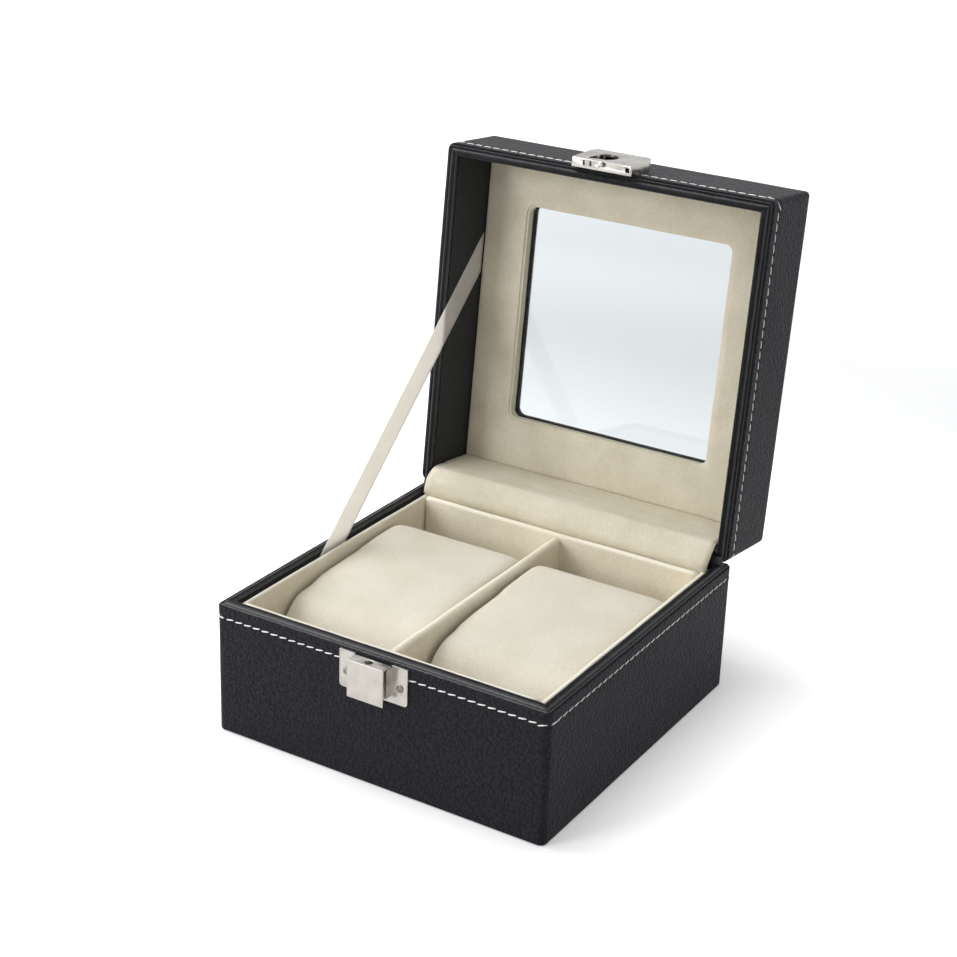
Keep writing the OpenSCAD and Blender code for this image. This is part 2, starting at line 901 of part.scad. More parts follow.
// Rounds of a pillow seen from its side: [share of length, share of height, radius], all measured to centres
pillow_rounds = [[0, 0, 7], [1, 0, 7], [0.975, 0.84, 9], [0.733, 0.79, 12.5], [0.46, 0.64, 14], [0.21, 0.4, 15]];
// Width taken off each side and radius taken off the rounds, from a pillow's sides to its middle
pillow_sides = [[0, 2.2], [0.6, 0.8], [1.8, 0]];

// Stuffed form of a pillow for the right-hand slot, smaller all round by inset
module pillow_form(inset) {
    w = slot_w - 2 * pillow_gap;
    foot_r = pillow_rounds[0][2];
    span = pillow_l - 2 * foot_r;
    rise = (pillow_h - foot_r - pillow_rounds[3][2]) / pillow_rounds[3][1];
    foot_z = lining_top + pillow_rest_gap + foot_r;
    translate([divider_t / 2 + slot_w / 2, slot_front_y + pillow_front_gap + foot_r, foot_z])
        hull()
            for (s = pillow_sides, p = pillow_rounds)
                translate([-w / 2 + s[0] + inset, p[0] * span, p[1] * rise])
                    rotate([90, 0, 90])
                        linear_extrude(w - 2 * s[0] - 2 * inset)
                            circle(p[2] - s[1] - inset, $fn = 28);
}

// Velvet cover, with the seam where its edges meet underneath
module pillow_cover() {
    seam_l = pillow_l * 0.5;
    difference() {
        pillow_form(0);
        pillow_form(cover_t);
        bar([divider_t / 2 + (slot_w - seam_w) / 2, slot_front_y + seam_l / 2, lining_top],
            [divider_t / 2 + (slot_w + seam_w) / 2, slot_front_y + seam_l * 1.5,
             lining_top + pillow_rest_gap + 2 * cover_t]);
    }
}

module pillow_core() {
    pillow_form(cover_t + lay_gap);
}

module pillow_left_cover() {
    color("#e2dccb")
        mirror([1, 0, 0])
            pillow_cover();
}

module pillow_left_core() {
    color("#f0efe9")
        mirror([1, 0, 0])
            pillow_core();
}

module pillow_right_cover() {
    color("#e2dccb")
        pillow_cover();
}

module pillow_right_core() {
    color("#f0efe9")
        pillow_core();
}

base_floor_board();
base_front_board();
base_rear_board();
base_left_board();
base_right_board();
base_wrap();
base_underside_sheet();
base_rim(0);  // base_rim_front
base_rim(2);  // base_rim_rear
base_rim(3);  // base_rim_left
base_rim(1);  // base_rim_right
floor_lining();
front_lining();
rear_lining();
left_lining();
right_lining();
divider();
latch_housing();
latch_rivets();
latch_spring();
hinge_strip();
hinge_flap();
stay_ribbon();
latch_button();
latch_guide_pin();
lid_top_board();
lid_front_board();
lid_rear_board();
lid_left_board();
lid_right_board();
lid_wrap();
lid_rim(0);  // lid_rim_front
lid_rim(2);  // lid_rim_rear
lid_rim(3);  // lid_rim_left
lid_rim(1);  // lid_rim_right
lid_side_lining();
lid_panel();
window_glass();
hasp_plate();
hasp_striker();
pillow_left_cover();
pillow_left_core();
pillow_right_cover();
pillow_right_core();
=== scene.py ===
import json
import math

import bmesh
import bpy
import numpy as np
from mathutils import Matrix, Vector, noise

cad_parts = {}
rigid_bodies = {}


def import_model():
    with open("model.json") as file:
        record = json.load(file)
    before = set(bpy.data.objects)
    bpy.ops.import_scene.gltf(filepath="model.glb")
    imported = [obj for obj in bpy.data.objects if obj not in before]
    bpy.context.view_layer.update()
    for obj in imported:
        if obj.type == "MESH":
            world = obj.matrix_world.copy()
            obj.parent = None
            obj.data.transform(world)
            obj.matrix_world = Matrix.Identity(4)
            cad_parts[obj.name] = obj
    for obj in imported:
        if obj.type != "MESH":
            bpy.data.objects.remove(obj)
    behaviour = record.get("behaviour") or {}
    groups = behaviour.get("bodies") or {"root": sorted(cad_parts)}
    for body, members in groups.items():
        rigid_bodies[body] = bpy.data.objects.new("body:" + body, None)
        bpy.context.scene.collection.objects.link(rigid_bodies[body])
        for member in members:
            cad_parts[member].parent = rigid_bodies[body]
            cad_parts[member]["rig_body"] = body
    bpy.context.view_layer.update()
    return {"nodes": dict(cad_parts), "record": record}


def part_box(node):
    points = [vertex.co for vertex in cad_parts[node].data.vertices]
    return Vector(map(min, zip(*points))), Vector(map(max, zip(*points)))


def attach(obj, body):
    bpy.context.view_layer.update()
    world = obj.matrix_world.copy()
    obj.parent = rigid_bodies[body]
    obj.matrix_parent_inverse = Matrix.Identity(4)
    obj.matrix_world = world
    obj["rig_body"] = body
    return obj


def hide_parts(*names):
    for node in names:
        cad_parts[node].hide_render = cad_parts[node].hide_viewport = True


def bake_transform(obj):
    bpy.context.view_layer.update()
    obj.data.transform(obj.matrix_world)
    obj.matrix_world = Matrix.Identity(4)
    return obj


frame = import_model()
scene = bpy.context.scene
scene.view_settings.view_transform = "Standard"
noise.seed_set(1)      # without it the wobbles of leather and velvet differ from run to run
MM = 0.001

# ---------------------------------------------------------------- sizes of the case, in millimetres
HALF = 65.0            # half the case's width and depth
INSIDE = 60.3          # the walls' inside faces
SHOULDER = 48.1        # top of the base's leather side
LID_SHOULDER = 50.9    # foot of the shut lid's leather side
LID_TOP = 82.2         # top of the shut lid
CORNER_R = 2.6         # the case's upright corners
CARD_TOP = 47.2        # top of the lining cards
PANEL_Z = 73.9         # face of the lid's velvet panel
GLASS_Z = 77.5         # inside face of the window glass
BOARD_Z = 79.1         # underside of the lid's top board
WINDOW = (83.0, 82.0, 3.0)   # width, length and corner radius of the window
WINDOW_SHIFT = -1.5    # how far the window lies in front of the lid's middle
GUIDE_Z = 40.85        # height of the clasp's guide pin and spring
GUIDE_BORE = 1.3       # radius of the pin's hole in the leather
STITCH_DROP = 4.3      # from a shoulder to its row of stitches
HASP_LOW, HASP_W, HASP_H, HASP_ROUND = 47.8, 24.0, 18.2, 5.2  # lip's height, size, far corners' radius
HASP_EYE = (-2.1, 7.6, 4.3)  # middle and radius of the hasp's opening, from the middle of its lip
HASP_EYE_FOOT = (-6.9, 0.9, 3.3)  # ends of the opening's straight foot, and its height over the lip
FLAP_HALF_W, FLAP_THICK, FLAP_TAIL = 59.6, 0.8, 9.5  # velvet flap, its tail behind the rear lining
STRIP_HALF_W, STRIP_THICK, STRIP_TAIL = 63.2, 0.5, 14  # leather strip, its tail inside each wall
RIBBON_HALF_W, RIBBON_TAIL = 5.0, 12.0
RIBBON_FACES = (-60.25, -59.97)  # x of the ribbon's two faces
RIBBON_Y, RIBBON_LID_Y = -4.0, -22.0  # where its middle leaves the base, and meets the shut lid's panel
RIBBON_SLOPE = 41.9    # degrees that the ribbon climbs by
HINGE = (62.45, 52.4)  # y and z of the hinge line
OPEN = 96.0            # degrees that the lid stands open
TO_HINGE = Matrix.Translation((0, HINGE[0] * MM, HINGE[1] * MM))
LAID_OPEN = TO_HINGE @ Matrix.Rotation(-math.radians(OPEN), 4, "X") @ TO_HINGE.inverted()

# ---------------------------------------------------------------- camera, floor and light
camera = bpy.data.objects.new("camera", bpy.data.cameras.new("camera"))
scene.collection.objects.link(camera)
scene.camera = camera
camera.data.sensor_width = 36
camera.data.lens = 75.7
RIGHT = Vector((0.84840, 0.52850, 0.03002))
DOWN = Vector((0.23289, -0.32174, -0.91774))
AHEAD = Vector((-0.47537, 0.78560, -0.39605))
EYE = Vector((0.32224, -0.53676, 0.35780))
camera.matrix_world = Matrix((
    (RIGHT.x, -DOWN.x, -AHEAD.x, EYE.x),
    (RIGHT.y, -DOWN.y, -AHEAD.y, EYE.y),
    (RIGHT.z, -DOWN.z, -AHEAD.z, EYE.z),
    (0, 0, 0, 1)))


def srgb(text, alpha=1.0):
    """An sRGB hex colour as linear values."""
    parts = [int(text[i:i + 2], 16) / 255 for i in (1, 3, 5)]
    return tuple(c / 12.92 if c <= 0.04045 else ((c + 0.055) / 1.055) ** 2.4 for c in parts) + (alpha,)


def add(tree, kind, inputs=None, stops=(), **settings):
    """A node with its settings. An input is set, or linked to a socket or to the first output of a node, and
    stops are a colour ramp's (place, hex colour) pairs."""
    n = tree.nodes.new(kind)
    for key, value in settings.items():
        setattr(n, key, value)
    for key, value in (inputs or {}).items():
        if isinstance(value, bpy.types.Node):
            value = value.outputs[0]
        if isinstance(value, bpy.types.NodeSocket):
            tree.links.new(value, n.inputs[key])
        else:
            n.inputs[key].default_value = value
    for i, (place, colour) in enumerate(stops):
        n.color_ramp.elements[i].position = place
        n.color_ramp.elements[i].color = srgb(colour)
    return n


def blank(name):
    """An empty material and its node tree."""
    m = bpy.data.materials.new(name)
    m.use_nodes = True
    m.node_tree.nodes.clear()
    return m, m.node_tree


def plainly_seen(tree):
    """1 for rays that look at the backdrop, directly, in metal or through glass, and 0 for other light."""
    ray = add(tree, "ShaderNodeLightPath").outputs
    through = add(tree, "ShaderNodeMath", {0: ray["Is Transmission Ray"], 1: ray["Is Glossy Ray"]},
                  operation="MAXIMUM")
    return add(tree, "ShaderNodeMath", {0: ray["Is Camera Ray"], 1: through}, operation="MAXIMUM")


def softbox(name, place, target, size, power):
    """A square white area light turned to its target."""
    data = bpy.data.lights.new(name, "AREA")
    data.shape = "RECTANGLE"
    data.size = data.size_y = size
    data.energy = power
    o = bpy.data.objects.new(name, data)
    o.location = place
    o.rotation_euler = (Vector(target) - Vector(place)).to_track_quat("-Z", "Y").to_euler()
    scene.collection.objects.link(o)


softbox("softbox_left", (-0.85, -0.12, 0.72), (0, 0, 0.08), 0.8, 6.6)
softbox("softbox_top", (-0.12, 0.0, 1.05), (0, 0, 0.05), 0.7, 3.2)
softbox("softbox_front", (-0.6, -0.95, 0.5), (0, 0, 0.08), 0.45, 5.6)

world = bpy.data.worlds.new("studio")
scene.world = world
world.use_nodes = True
wt = world.node_tree
wt.nodes.clear()
lamp = add(wt, "ShaderNodeBackground", {"Color": srgb("#f4f6f8"), "Strength": 0.42})
plain = add(wt, "ShaderNodeBackground", {"Color": srgb("#ffffff"), "Strength": 1.0})
both = add(wt, "ShaderNodeMixShader", {0: plainly_seen(wt), 1: lamp, 2: plain})
add(wt, "ShaderNodeOutputWorld", {"Surface": both})

# The paper's glow, by the distance in metres from the case: from, to, glow there and glow there
FLOOR_HALF = 4.0
# The weak glow beside the case also paints a soft shade round its foot, where no shadow falls
GLOW_NEAR = (0.0, 0.04, 0.28, 0.62)    # weak beside the case, where its shadow lies
GLOW_FAR = (0.35, 1.0, 0.0, 0.8)       # added where the lights no longer reach
GLOW_BEHIND = (0.12, 0.3, 0.0, 0.42)   # taken off behind and in front, so that the window isn't too bright


def studio_floor():
    """White studio paper: it shows white where the light falls and keeps a soft shadow, and its weaker glow
    beside the case paints a soft shade round the case's foot.
    """
    m, t = blank("studio_paper")
    bounce = add(t, "ShaderNodeBsdfDiffuse", {"Color": srgb("#f2f2f2")})
    where = add(t, "ShaderNodeTexCoord").outputs["Object"]
    side = add(t, "ShaderNodeVectorMath", {0: where}, operation="ABSOLUTE")
    out = add(t, "ShaderNodeVectorMath", {0: side, 1: (HALF * MM, HALF * MM, 0)}, operation="SUBTRACT")
    out = add(t, "ShaderNodeVectorMath", {0: out, 1: (0, 0, 0)}, operation="MAXIMUM")
    far = add(t, "ShaderNodeVectorMath", {0: out}, operation="LENGTH").outputs["Value"]
    deep = add(t, "ShaderNodeSeparateXYZ", {0: out}).outputs["Y"]
    near, beyond, behind = [
        add(t, "ShaderNodeMapRange", dict(enumerate((distance, *glow))))
        for distance, glow in ((far, GLOW_NEAR), (far, GLOW_FAR), (deep, GLOW_BEHIND))]
    lift = add(t, "ShaderNodeMath", {0: near, 1: behind}, operation="SUBTRACT")
    lift = add(t, "ShaderNodeMath", {0: lift, 1: beyond}, operation="ADD")
    glow = add(t, "ShaderNodeEmission", {"Color": srgb("#ffffff"), "Strength": lift})
    lifted = add(t, "ShaderNodeAddShader", {0: bounce, 1: glow})
    paper = add(t, "ShaderNodeMixShader", {0: plainly_seen(t), 1: bounce, 2: lifted})
    add(t, "ShaderNodeOutputMaterial", {"Surface": paper})
    mesh = bpy.data.meshes.new("floor")
    r = FLOOR_HALF
    mesh.from_pydata([(-r, -r, 0), (r, -r, 0), (r, r, 0), (-r, r, 0)], [], [(0, 1, 2, 3)])
    mesh.materials.append(m)
    o = bpy.data.objects.new("floor", mesh)
    scene.collection.objects.link(o)
    o.location.z = -0.0001


studio_floor()


# ---------------------------------------------------------------- finishes
# A Map Range node's inputs are the value, from, to, and what they become
def place_mm(tree):
    """Object coordinates in millimetres."""
    where = add(tree, "ShaderNodeTexCoord").outputs["Object"]
    return add(tree, "ShaderNodeVectorMath", {0: where, "Scale": 1000.0}, operation="SCALE")


def pebbled_leather(name, body, crest, grain, depth, rough):
    """Embossed polyurethane leather: soft round pebbles with a dull shine, coloured darker in their creases
    as painted shade and lighter on their tops as painted highlight, and mottled at random.
    Grain is their size and depth the depth of the creases, in millimetres."""
    m, t = blank(name)
    p = place_mm(t)
    drift = add(t, "ShaderNodeTexNoise", {"Vector": p, "Scale": 0.5, "Detail": 2.0}).outputs["Color"]
    bent = add(t, "ShaderNodeVectorMath", {0: drift, 1: (0.5, 0.5, 0.5)}, operation="SUBTRACT")
    bent = add(t, "ShaderNodeVectorMath", {0: bent, "Scale": grain * 1.5}, operation="SCALE")
    bent = add(t, "ShaderNodeVectorMath", {0: p, 1: bent}, operation="ADD")
    cell = add(t, "ShaderNodeTexVoronoi", {
        "Vector": bent, "Scale": 1.0 / grain, "Randomness": 1.0, "Smoothness": 0.35}, feature="SMOOTH_F1")
    dome = add(t, "ShaderNodeMapRange", {0: cell, 1: 0.15, 2: 0.75, 3: 1.0, 4: 0.0})
    pore = add(t, "ShaderNodeTexNoise", {"Vector": p, "Scale": 5.0, "Detail": 3.0})
    wave = add(t, "ShaderNodeTexNoise", {"Vector": p, "Scale": 0.1, "Detail": 2.0})
    height = add(t, "ShaderNodeMath", {0: pore, 1: 0.3, 2: dome}, operation="MULTIPLY_ADD")
    height = add(t, "ShaderNodeMath", {0: height, 1: wave}, operation="ADD")
    bump = add(t, "ShaderNodeBump", {"Strength": 1.0, "Distance": depth * MM, "Height": height})
    # Painted shade and highlight: the tone follows the pebbles' domes, dark in the creases and light on the
    # tops, and the pores vary it at random
    painted_crest_light_and_mottle = add(t, "ShaderNodeMapRange", {0: pore, 1: 0.3, 2: 0.7, 3: 0.75, 4: 1.1})
    painted_crest_light_and_mottle = add(t, "ShaderNodeMath", {0: dome, 1: painted_crest_light_and_mottle}, operation="MULTIPLY")
    tone = add(t, "ShaderNodeValToRGB", {"Fac": painted_crest_light_and_mottle}, stops=((0.1, body), (0.9, crest)))
    dullness = add(t, "ShaderNodeMapRange", {0: pore, 1: 0.3, 2: 0.7, 3: rough - 0.06, 4: rough + 0.08})
    hide = add(t, "ShaderNodeBsdfPrincipled", {
        "Base Color": tone, "Roughness": dullness, "IOR": 1.5, "Specular IOR Level": 0.05, "Normal": bump})
    add(t, "ShaderNodeOutputMaterial", {"Surface": hide})
    return m


def soft_leather(name, body, rough, fold, dull=(0, 0, 1)):
    """Smooth polyurethane leather pulled over a thin pad: fine creases, fold millimetres deep, and a sheen
    that fades where it faces the way of dull."""
    m, t = blank(name)
    p = place_mm(t)
    fine = add(t, "ShaderNodeTexNoise", {"Vector": p, "Scale": 1.6, "Detail": 4.0, "Roughness": 0.6})
    broad = add(t, "ShaderNodeTexNoise", {"Vector": p, "Scale": 0.2, "Detail": 2.0})
    height = add(t, "ShaderNodeMath", {0: fine, 1: 0.6, 2: broad}, operation="MULTIPLY_ADD")
    bump = add(t, "ShaderNodeBump", {"Strength": 0.8, "Distance": fold * MM, "Height": height})
    tone = add(t, "ShaderNodeValToRGB", {"Fac": broad}, stops=((0.3, body), (0.8, "#1f2023")))
    facing = add(t, "ShaderNodeTexCoord").outputs["Normal"]
    top = add(t, "ShaderNodeVectorMath", {0: facing, 1: dull}, operation="DOT_PRODUCT").outputs["Value"]
    sheen = add(t, "ShaderNodeMapRange", {0: top, 1: 0.6, 2: 0.95, 3: 0.55, 4: 0.07})
    dullness = add(t, "ShaderNodeMapRange", {0: fine, 1: 0.3, 2: 0.7, 3: rough - 0.05, 4: rough + 0.07})
    hide = add(t, "ShaderNodeBsdfPrincipled", {
        "Base Color": tone, "Roughness": dullness, "IOR": 1.5, "Specular IOR Level": sheen, "Normal": bump})
    add(t, "ShaderNodeOutputMaterial", {"Surface": hide})
    return m


def velvet(name, body, nap, pile, cloud=14.0, crest=None, flank=False):
    """Short cream pile: matt face-on, pale where it turns away, with cloudy strokes where the nap lies over.
    Cloud is the strokes' size in millimetres, crest the height above which the colour turns paler as a
    painted highlight along the cards' top edges, and flank paints shade on the side panels that face
    sideways, standing in for the shade in the narrow gaps beside them."""
    m, t = blank(name)
    p = place_mm(t)
    stroke = add(t, "ShaderNodeTexNoise", {
        "Vector": p, "Scale": 1.0 / cloud, "Detail": 3.0, "Roughness": 0.55})
    tuft = add(t, "ShaderNodeTexNoise", {"Vector": p, "Scale": 1.5, "Detail": 5.0, "Roughness": 0.75})
    part = add(t, "ShaderNodeMath", {0: stroke, 1: 0.4}, operation="MULTIPLY")
    mixed = add(t, "ShaderNodeMath", {0: tuft, 1: 0.6, 2: part}, operation="MULTIPLY_ADD")
    tone = add(t, "ShaderNodeValToRGB", {"Fac": mixed}, stops=((0.36, body), (0.62, nap))).outputs[0]
    if crest is not None:
        # Painted highlight: above the crest height the velvet turns paler cream along the cards' top edges
        high = add(t, "ShaderNodeSeparateXYZ", {0: p}).outputs["Z"]
        pale = add(t, "ShaderNodeMapRange", {0: high, 1: crest, 2: crest + 0.7, 3: 0.0, 4: 0.6})
        tone = add(t, "ShaderNodeMix", {0: pale, 6: tone, 7: srgb("#f7f3e8")}, data_type="RGBA").outputs[2]
    if flank:
        # Painted shade: panels facing sideways are darkened towards brown, standing in for the shade in the
        # narrow gaps beside the linings and the divider
        facing = add(t, "ShaderNodeTexCoord").outputs["Normal"]
        aside = add(t, "ShaderNodeVectorMath", {0: facing}, operation="ABSOLUTE")
        aside = add(t, "ShaderNodeSeparateXYZ", {0: aside}).outputs["X"]
        turned = add(t, "ShaderNodeMapRange", {0: aside, 1: 0.7, 2: 0.97, 3: 0.0, 4: 0.8})
        tone = add(t, "ShaderNodeMix", {0: turned, 6: tone, 7: srgb("#7d7157")}, data_type="RGBA").outputs[2]
    height = add(t, "ShaderNodeMath", {0: stroke, 1: 1.5, 2: tuft}, operation="MULTIPLY_ADD")
    bump = add(t, "ShaderNodeBump", {"Strength": 0.8, "Distance": pile * MM, "Height": height})
    cloth = add(t, "ShaderNodeBsdfPrincipled", {
        "Base Color": tone, "Roughness": 0.92, "Specular IOR Level": 0.2, "Sheen Weight": 0.25,
        "Sheen Roughness": 0.45, "Sheen Tint": srgb("#fff6e2"), "Normal": bump})
    add(t, "ShaderNodeOutputMaterial", {"Surface": cloth})
    return m


def satin(name):
    """Woven satin ribbon: fine threads across it and a soft shine along it, and some light comes through."""
    m, t = blank(name)
    p = place_mm(t)
    turned = add(t, "ShaderNodeMapping", {"Vector": p, "Rotation": (math.radians(RIBBON_SLOPE), 0, 0)})
    rib = add(t, "ShaderNodeTexWave", {"Vector": turned, "Scale": 0.7, "Distortion": 0.4, "Detail": 2.0},
              bands_direction="Z").outputs["Fac"]
    cloud = add(t, "ShaderNodeTexNoise", {"Vector": p, "Scale": 0.12, "Detail": 2.0})
    bump = add(t, "ShaderNodeBump", {"Strength": 0.5, "Distance": 0.03 * MM, "Height": rib})
    tone = add(t, "ShaderNodeValToRGB", {"Fac": cloud}, stops=((0.3, "#e6e3dc"), (0.7, "#efece6")))
    face = add(t, "ShaderNodeBsdfPrincipled", {
        "Base Color": tone, "Roughness": 0.42, "Sheen Weight": 0.25, "Normal": bump})
    through = add(t, "ShaderNodeBsdfTranslucent", {"Color": srgb("#fbf9f4")})
    weave = add(t, "ShaderNodeMixShader", {0: 0.46, 1: face, 2: through})
    add(t, "ShaderNodeOutputMaterial", {"Surface": weave})
    return m


def lining_cloth(name, body):
    """Plain woven lining cloth or pressed felt, dull and nearly black."""
    m, t = blank(name)
    weave = add(t, "ShaderNodeTexNoise", {"Vector": place_mm(t), "Scale": 3.0, "Detail": 3.0})
    bump = add(t, "ShaderNodeBump", {"Strength": 0.4, "Distance": 0.05 * MM, "Height": weave})
    tone = add(t, "ShaderNodeValToRGB", {"Fac": weave}, stops=((0.3, body), (0.8, "#26272a")))
    cloth = add(t, "ShaderNodeBsdfPrincipled", {"Base Color": tone, "Roughness": 0.8, "Normal": bump})
    add(t, "ShaderNodeOutputMaterial", {"Surface": cloth})
    return m


def thread_finish(name):
    """Bonded polyester sewing thread, off-white with a faint twist."""
    m, t = blank(name)
    ply = add(t, "ShaderNodeTexNoise", {"Vector": place_mm(t), "Scale": 5.0, "Detail": 2.0})
    bump = add(t, "ShaderNodeBump", {"Strength": 0.5, "Distance": 0.05 * MM, "Height": ply})
    tone = add(t, "ShaderNodeValToRGB", {"Fac": ply}, stops=((0.3, "#e9e6de"), (0.7, "#fbfaf6")))
    strand = add(t, "ShaderNodeBsdfPrincipled", {"Base Color": tone, "Roughness": 0.6, "Normal": bump})
    add(t, "ShaderNodeOutputMaterial", {"Surface": strand})
    return m


def fibreboard(name):
    """Fibreboard faced with black paper: dull, so the gaps beside the linings read dark."""
    m, t = blank(name)
    fleck = add(t, "ShaderNodeTexNoise", {"Vector": place_mm(t), "Scale": 2.0, "Detail": 4.0})
    tone = add(t, "ShaderNodeValToRGB", {"Fac": fleck}, stops=((0.3, "#151516"), (0.7, "#1f1f20")))
    face = add(t, "ShaderNodeBsdfPrincipled", {"Base Color": tone, "Roughness": 0.85})
    add(t, "ShaderNodeOutputMaterial", {"Surface": face})
    return m


def nickel(name, tint, rough, brush, along):
    """Nickel-plated sheet: fine brush lines one way under a soft polish, with faint finger marks. The lines
    are coarser than real ones so that they show, and run along the axis whose number in along is small."""
    m, t = blank(name)
    p = place_mm(t)
    stretched = add(t, "ShaderNodeMapping", {"Vector": p, "Scale": along})
    line = add(t, "ShaderNodeTexNoise", {"Vector": stretched, "Scale": 6.0, "Detail": 4.0})
    mark = add(t, "ShaderNodeTexNoise", {"Vector": p, "Scale": 0.25, "Detail": 3.0})
    bump = add(t, "ShaderNodeBump", {"Strength": brush, "Distance": 0.01 * MM, "Height": line})
    smudge = add(t, "ShaderNodeMapRange", {0: mark, 1: 0.2, 2: 0.8, 3: 1.0, 4: 1.3})
    tone = add(t, "ShaderNodeVectorMath", {0: srgb(tint)[:3], "Scale": smudge}, operation="SCALE")
    wear = add(t, "ShaderNodeMath", {0: line, 1: mark}, operation="ADD")
    wear = add(t, "ShaderNodeMapRange", {0: wear, 1: 0.7, 2: 1.3, 3: rough - 0.06, 4: rough + 0.08})
    metal = add(t, "ShaderNodeBsdfPrincipled", {
        "Base Color": tone, "Metallic": 1.0, "Roughness": wear, "Normal": bump})
    add(t, "ShaderNodeOutputMaterial", {"Surface": metal})
    return m


def float_glass(name):
    """Flat float glass, clear with a cool cast and faint smears; it lets the light through to the panel."""
    m, t = blank(name)
    light = add(t, "ShaderNodeLightPath").outputs["Is Shadow Ray"]
    smear = add(t, "ShaderNodeTexNoise", {"Vector": place_mm(t), "Scale": 0.05, "Detail": 2.0})
    smear = add(t, "ShaderNodeMapRange", {0: smear, 1: 0.3, 2: 0.7, 3: 0.0, 4: 0.02})
    glass = add(t, "ShaderNodeBsdfPrincipled", {
        "Base Color": srgb("#d4d9db"), "Roughness": smear, "IOR": 1.45, "Transmission Weight": 1.0})
    clear = add(t, "ShaderNodeBsdfTransparent", {"Color": srgb("#e6eef0")})
    pane = add(t, "ShaderNodeMixShader", {0: light, 1: glass, 2: clear})
    add(t, "ShaderNodeOutputMaterial", {"Surface": pane})
    return m


# The second colour is the painted highlight on the pebbles' tops, the first the painted shade in their
# creases
LEATHER = pebbled_leather("charcoal_pebbled_leather", "#202024", "#2b2b32", 1.15, 0.28, 0.42)
RIM = soft_leather("charcoal_rim_leather", "#131316", 0.3, 0.35)
LID_RIM = soft_leather("charcoal_lid_rim_leather", "#131316", 0.3, 0.35,
                       dull=LAID_OPEN.to_3x3() @ Vector((0, 0, -1)))
HINGE_SKIN = soft_leather("black_hinge_leather", "#101012", 0.6, 0.2)
VELVET = velvet("cream_velvet", "#d2c9b1", "#e7dfcc", 0.28)
# Its flank darkening is painted shade on the pillows' sideways-facing panels
PILLOW_VELVET = velvet("cream_pillow_velvet", "#d3ccba", "#e5dfd1", 0.26, cloud=22.0, flank=True)
# Its crest gives a painted highlight along the cards' top edges
EDGED_VELVET = velvet("cream_velvet_over_cards", "#e7dcc3", "#f9f2e0", 0.28, crest=CARD_TOP - 0.9)
FOAM = velvet("white_foam", "#e6e4dc", "#f2f0ea", 0.3)
SATIN = satin("cream_satin_ribbon")
DARK_CLOTH = lining_cloth("black_lining_cloth", "#141517")
FELT = lining_cloth("black_felt", "#121213")
THREAD = thread_finish("off_white_thread")
BOARD = fibreboard("black_faced_fibreboard")
NICKEL = nickel("brushed_nickel", "#a6a29c", 0.34, 0.6, (1.0, 1.0, 0.15))
BRIGHT = nickel("polished_nickel", "#9c9994", 0.22, 0.3, (0.2, 1.0, 1.0))
RIVET = nickel("dull_nickelled_rivet", "#7d7a76", 0.3, 0.3, (1.0, 1.0, 1.0))
PIN = nickel("nickelled_steel", "#b4b1ac", 0.24, 0.3, (1.0, 1.0, 1.0))
WIRE = nickel("spring_steel", "#8b8d90", 0.32, 0.3, (1.0, 1.0, 1.0))
GLASS = float_glass("clear_float_glass")

FINISH = {
    "wall_board": BOARD, "pebbled_leather": LEATHER, "rim_leather": RIM, "underside_felt": FELT,
    "dark_lining": DARK_CLOTH, "hinge_leather": HINGE_SKIN, "velvet": VELVET, "pillow_velvet": PILLOW_VELVET,
    "pillow_foam": FOAM, "satin_ribbon": SATIN, "nickel_plate": NICKEL, "bright_pin": PIN,
    "spring_steel": WIRE, "window_glass": GLASS}
SLOT_OF = {s["node"]: s["material_slot"] for s in frame["record"]["subparts"]}
for name, o in frame["nodes"].items():
    finish = BRIGHT if name == "hasp_plate" else FINISH[SLOT_OF[name]]
    if not o.material_slots:
        o.data.materials.append(finish)
    for s in o.material_slots:
        s.material = finish


# ---------------------------------------------------------------- making pieces
def arc(cx, cy, r, first, step, count):
    """Count points round a centre, from first degrees on by step degrees."""
    turns = [math.radians(first + step * i) for i in range(count)]
    return [(cx + r * math.cos(a), cy + r * math.sin(a)) for a in turns]


def straight(a, b, n):
    """n even points from a towards b, without b."""
    return [(a[0] + (b[0] - a[0]) * i / n, a[1] + (b[1] - a[1]) * i / n) for i in range(n)]


def skin(rows, n, closed=False):
    """Faces between rows of n points, each row a loop; closed joins the last row to the first."""
    return [(i * n + k, i * n + (k + 1) % n, (i + 1) % rows * n + (k + 1) % n, (i + 1) % rows * n + k)
            for i in range(rows if closed else rows - 1) for k in range(n)]


def slab(rows, n):
    """Faces of a sheet: two grids of rows by n points, one over the other, and the edge round them."""
    m = rows * n
    faces = []
    for i in range(rows - 1):
        for a in range(i * n, i * n + n - 1):
            faces += [(a, a + 1, a + n + 1, a + n), (m + a, m + a + n, m + a + n + 1, m + a + 1)]
        faces += [(a, a + n, m + a + n, m + a) for a in (i * n, i * n + n - 1)]
    for i in (0, rows - 1):
        faces += [(a, a + 1, m + a + 1, m + a) for a in range(i * n, i * n + n - 1)]
    return faces


def face_out(mesh, merge, smooth=True, flat_angle=None):
    """Points closer than merge joined, faces turned outwards, and flat ones under flat_angle made one."""
    bm = bmesh.new()
    bm.from_mesh(mesh)
    bmesh.ops.remove_doubles(bm, verts=bm.verts, dist=merge)
    if flat_angle:
        bmesh.ops.dissolve_limit(bm, angle_limit=flat_angle, verts=bm.verts, edges=bm.edges)
    bmesh.ops.recalc_face_normals(bm, faces=bm.faces)
    for f in bm.faces:
        f.smooth = smooth
    bm.to_mesh(mesh)
    bm.free()


def placed_object(name, mesh):
    o = bpy.data.objects.new(name, mesh)
    scene.collection.objects.link(o)
    return o


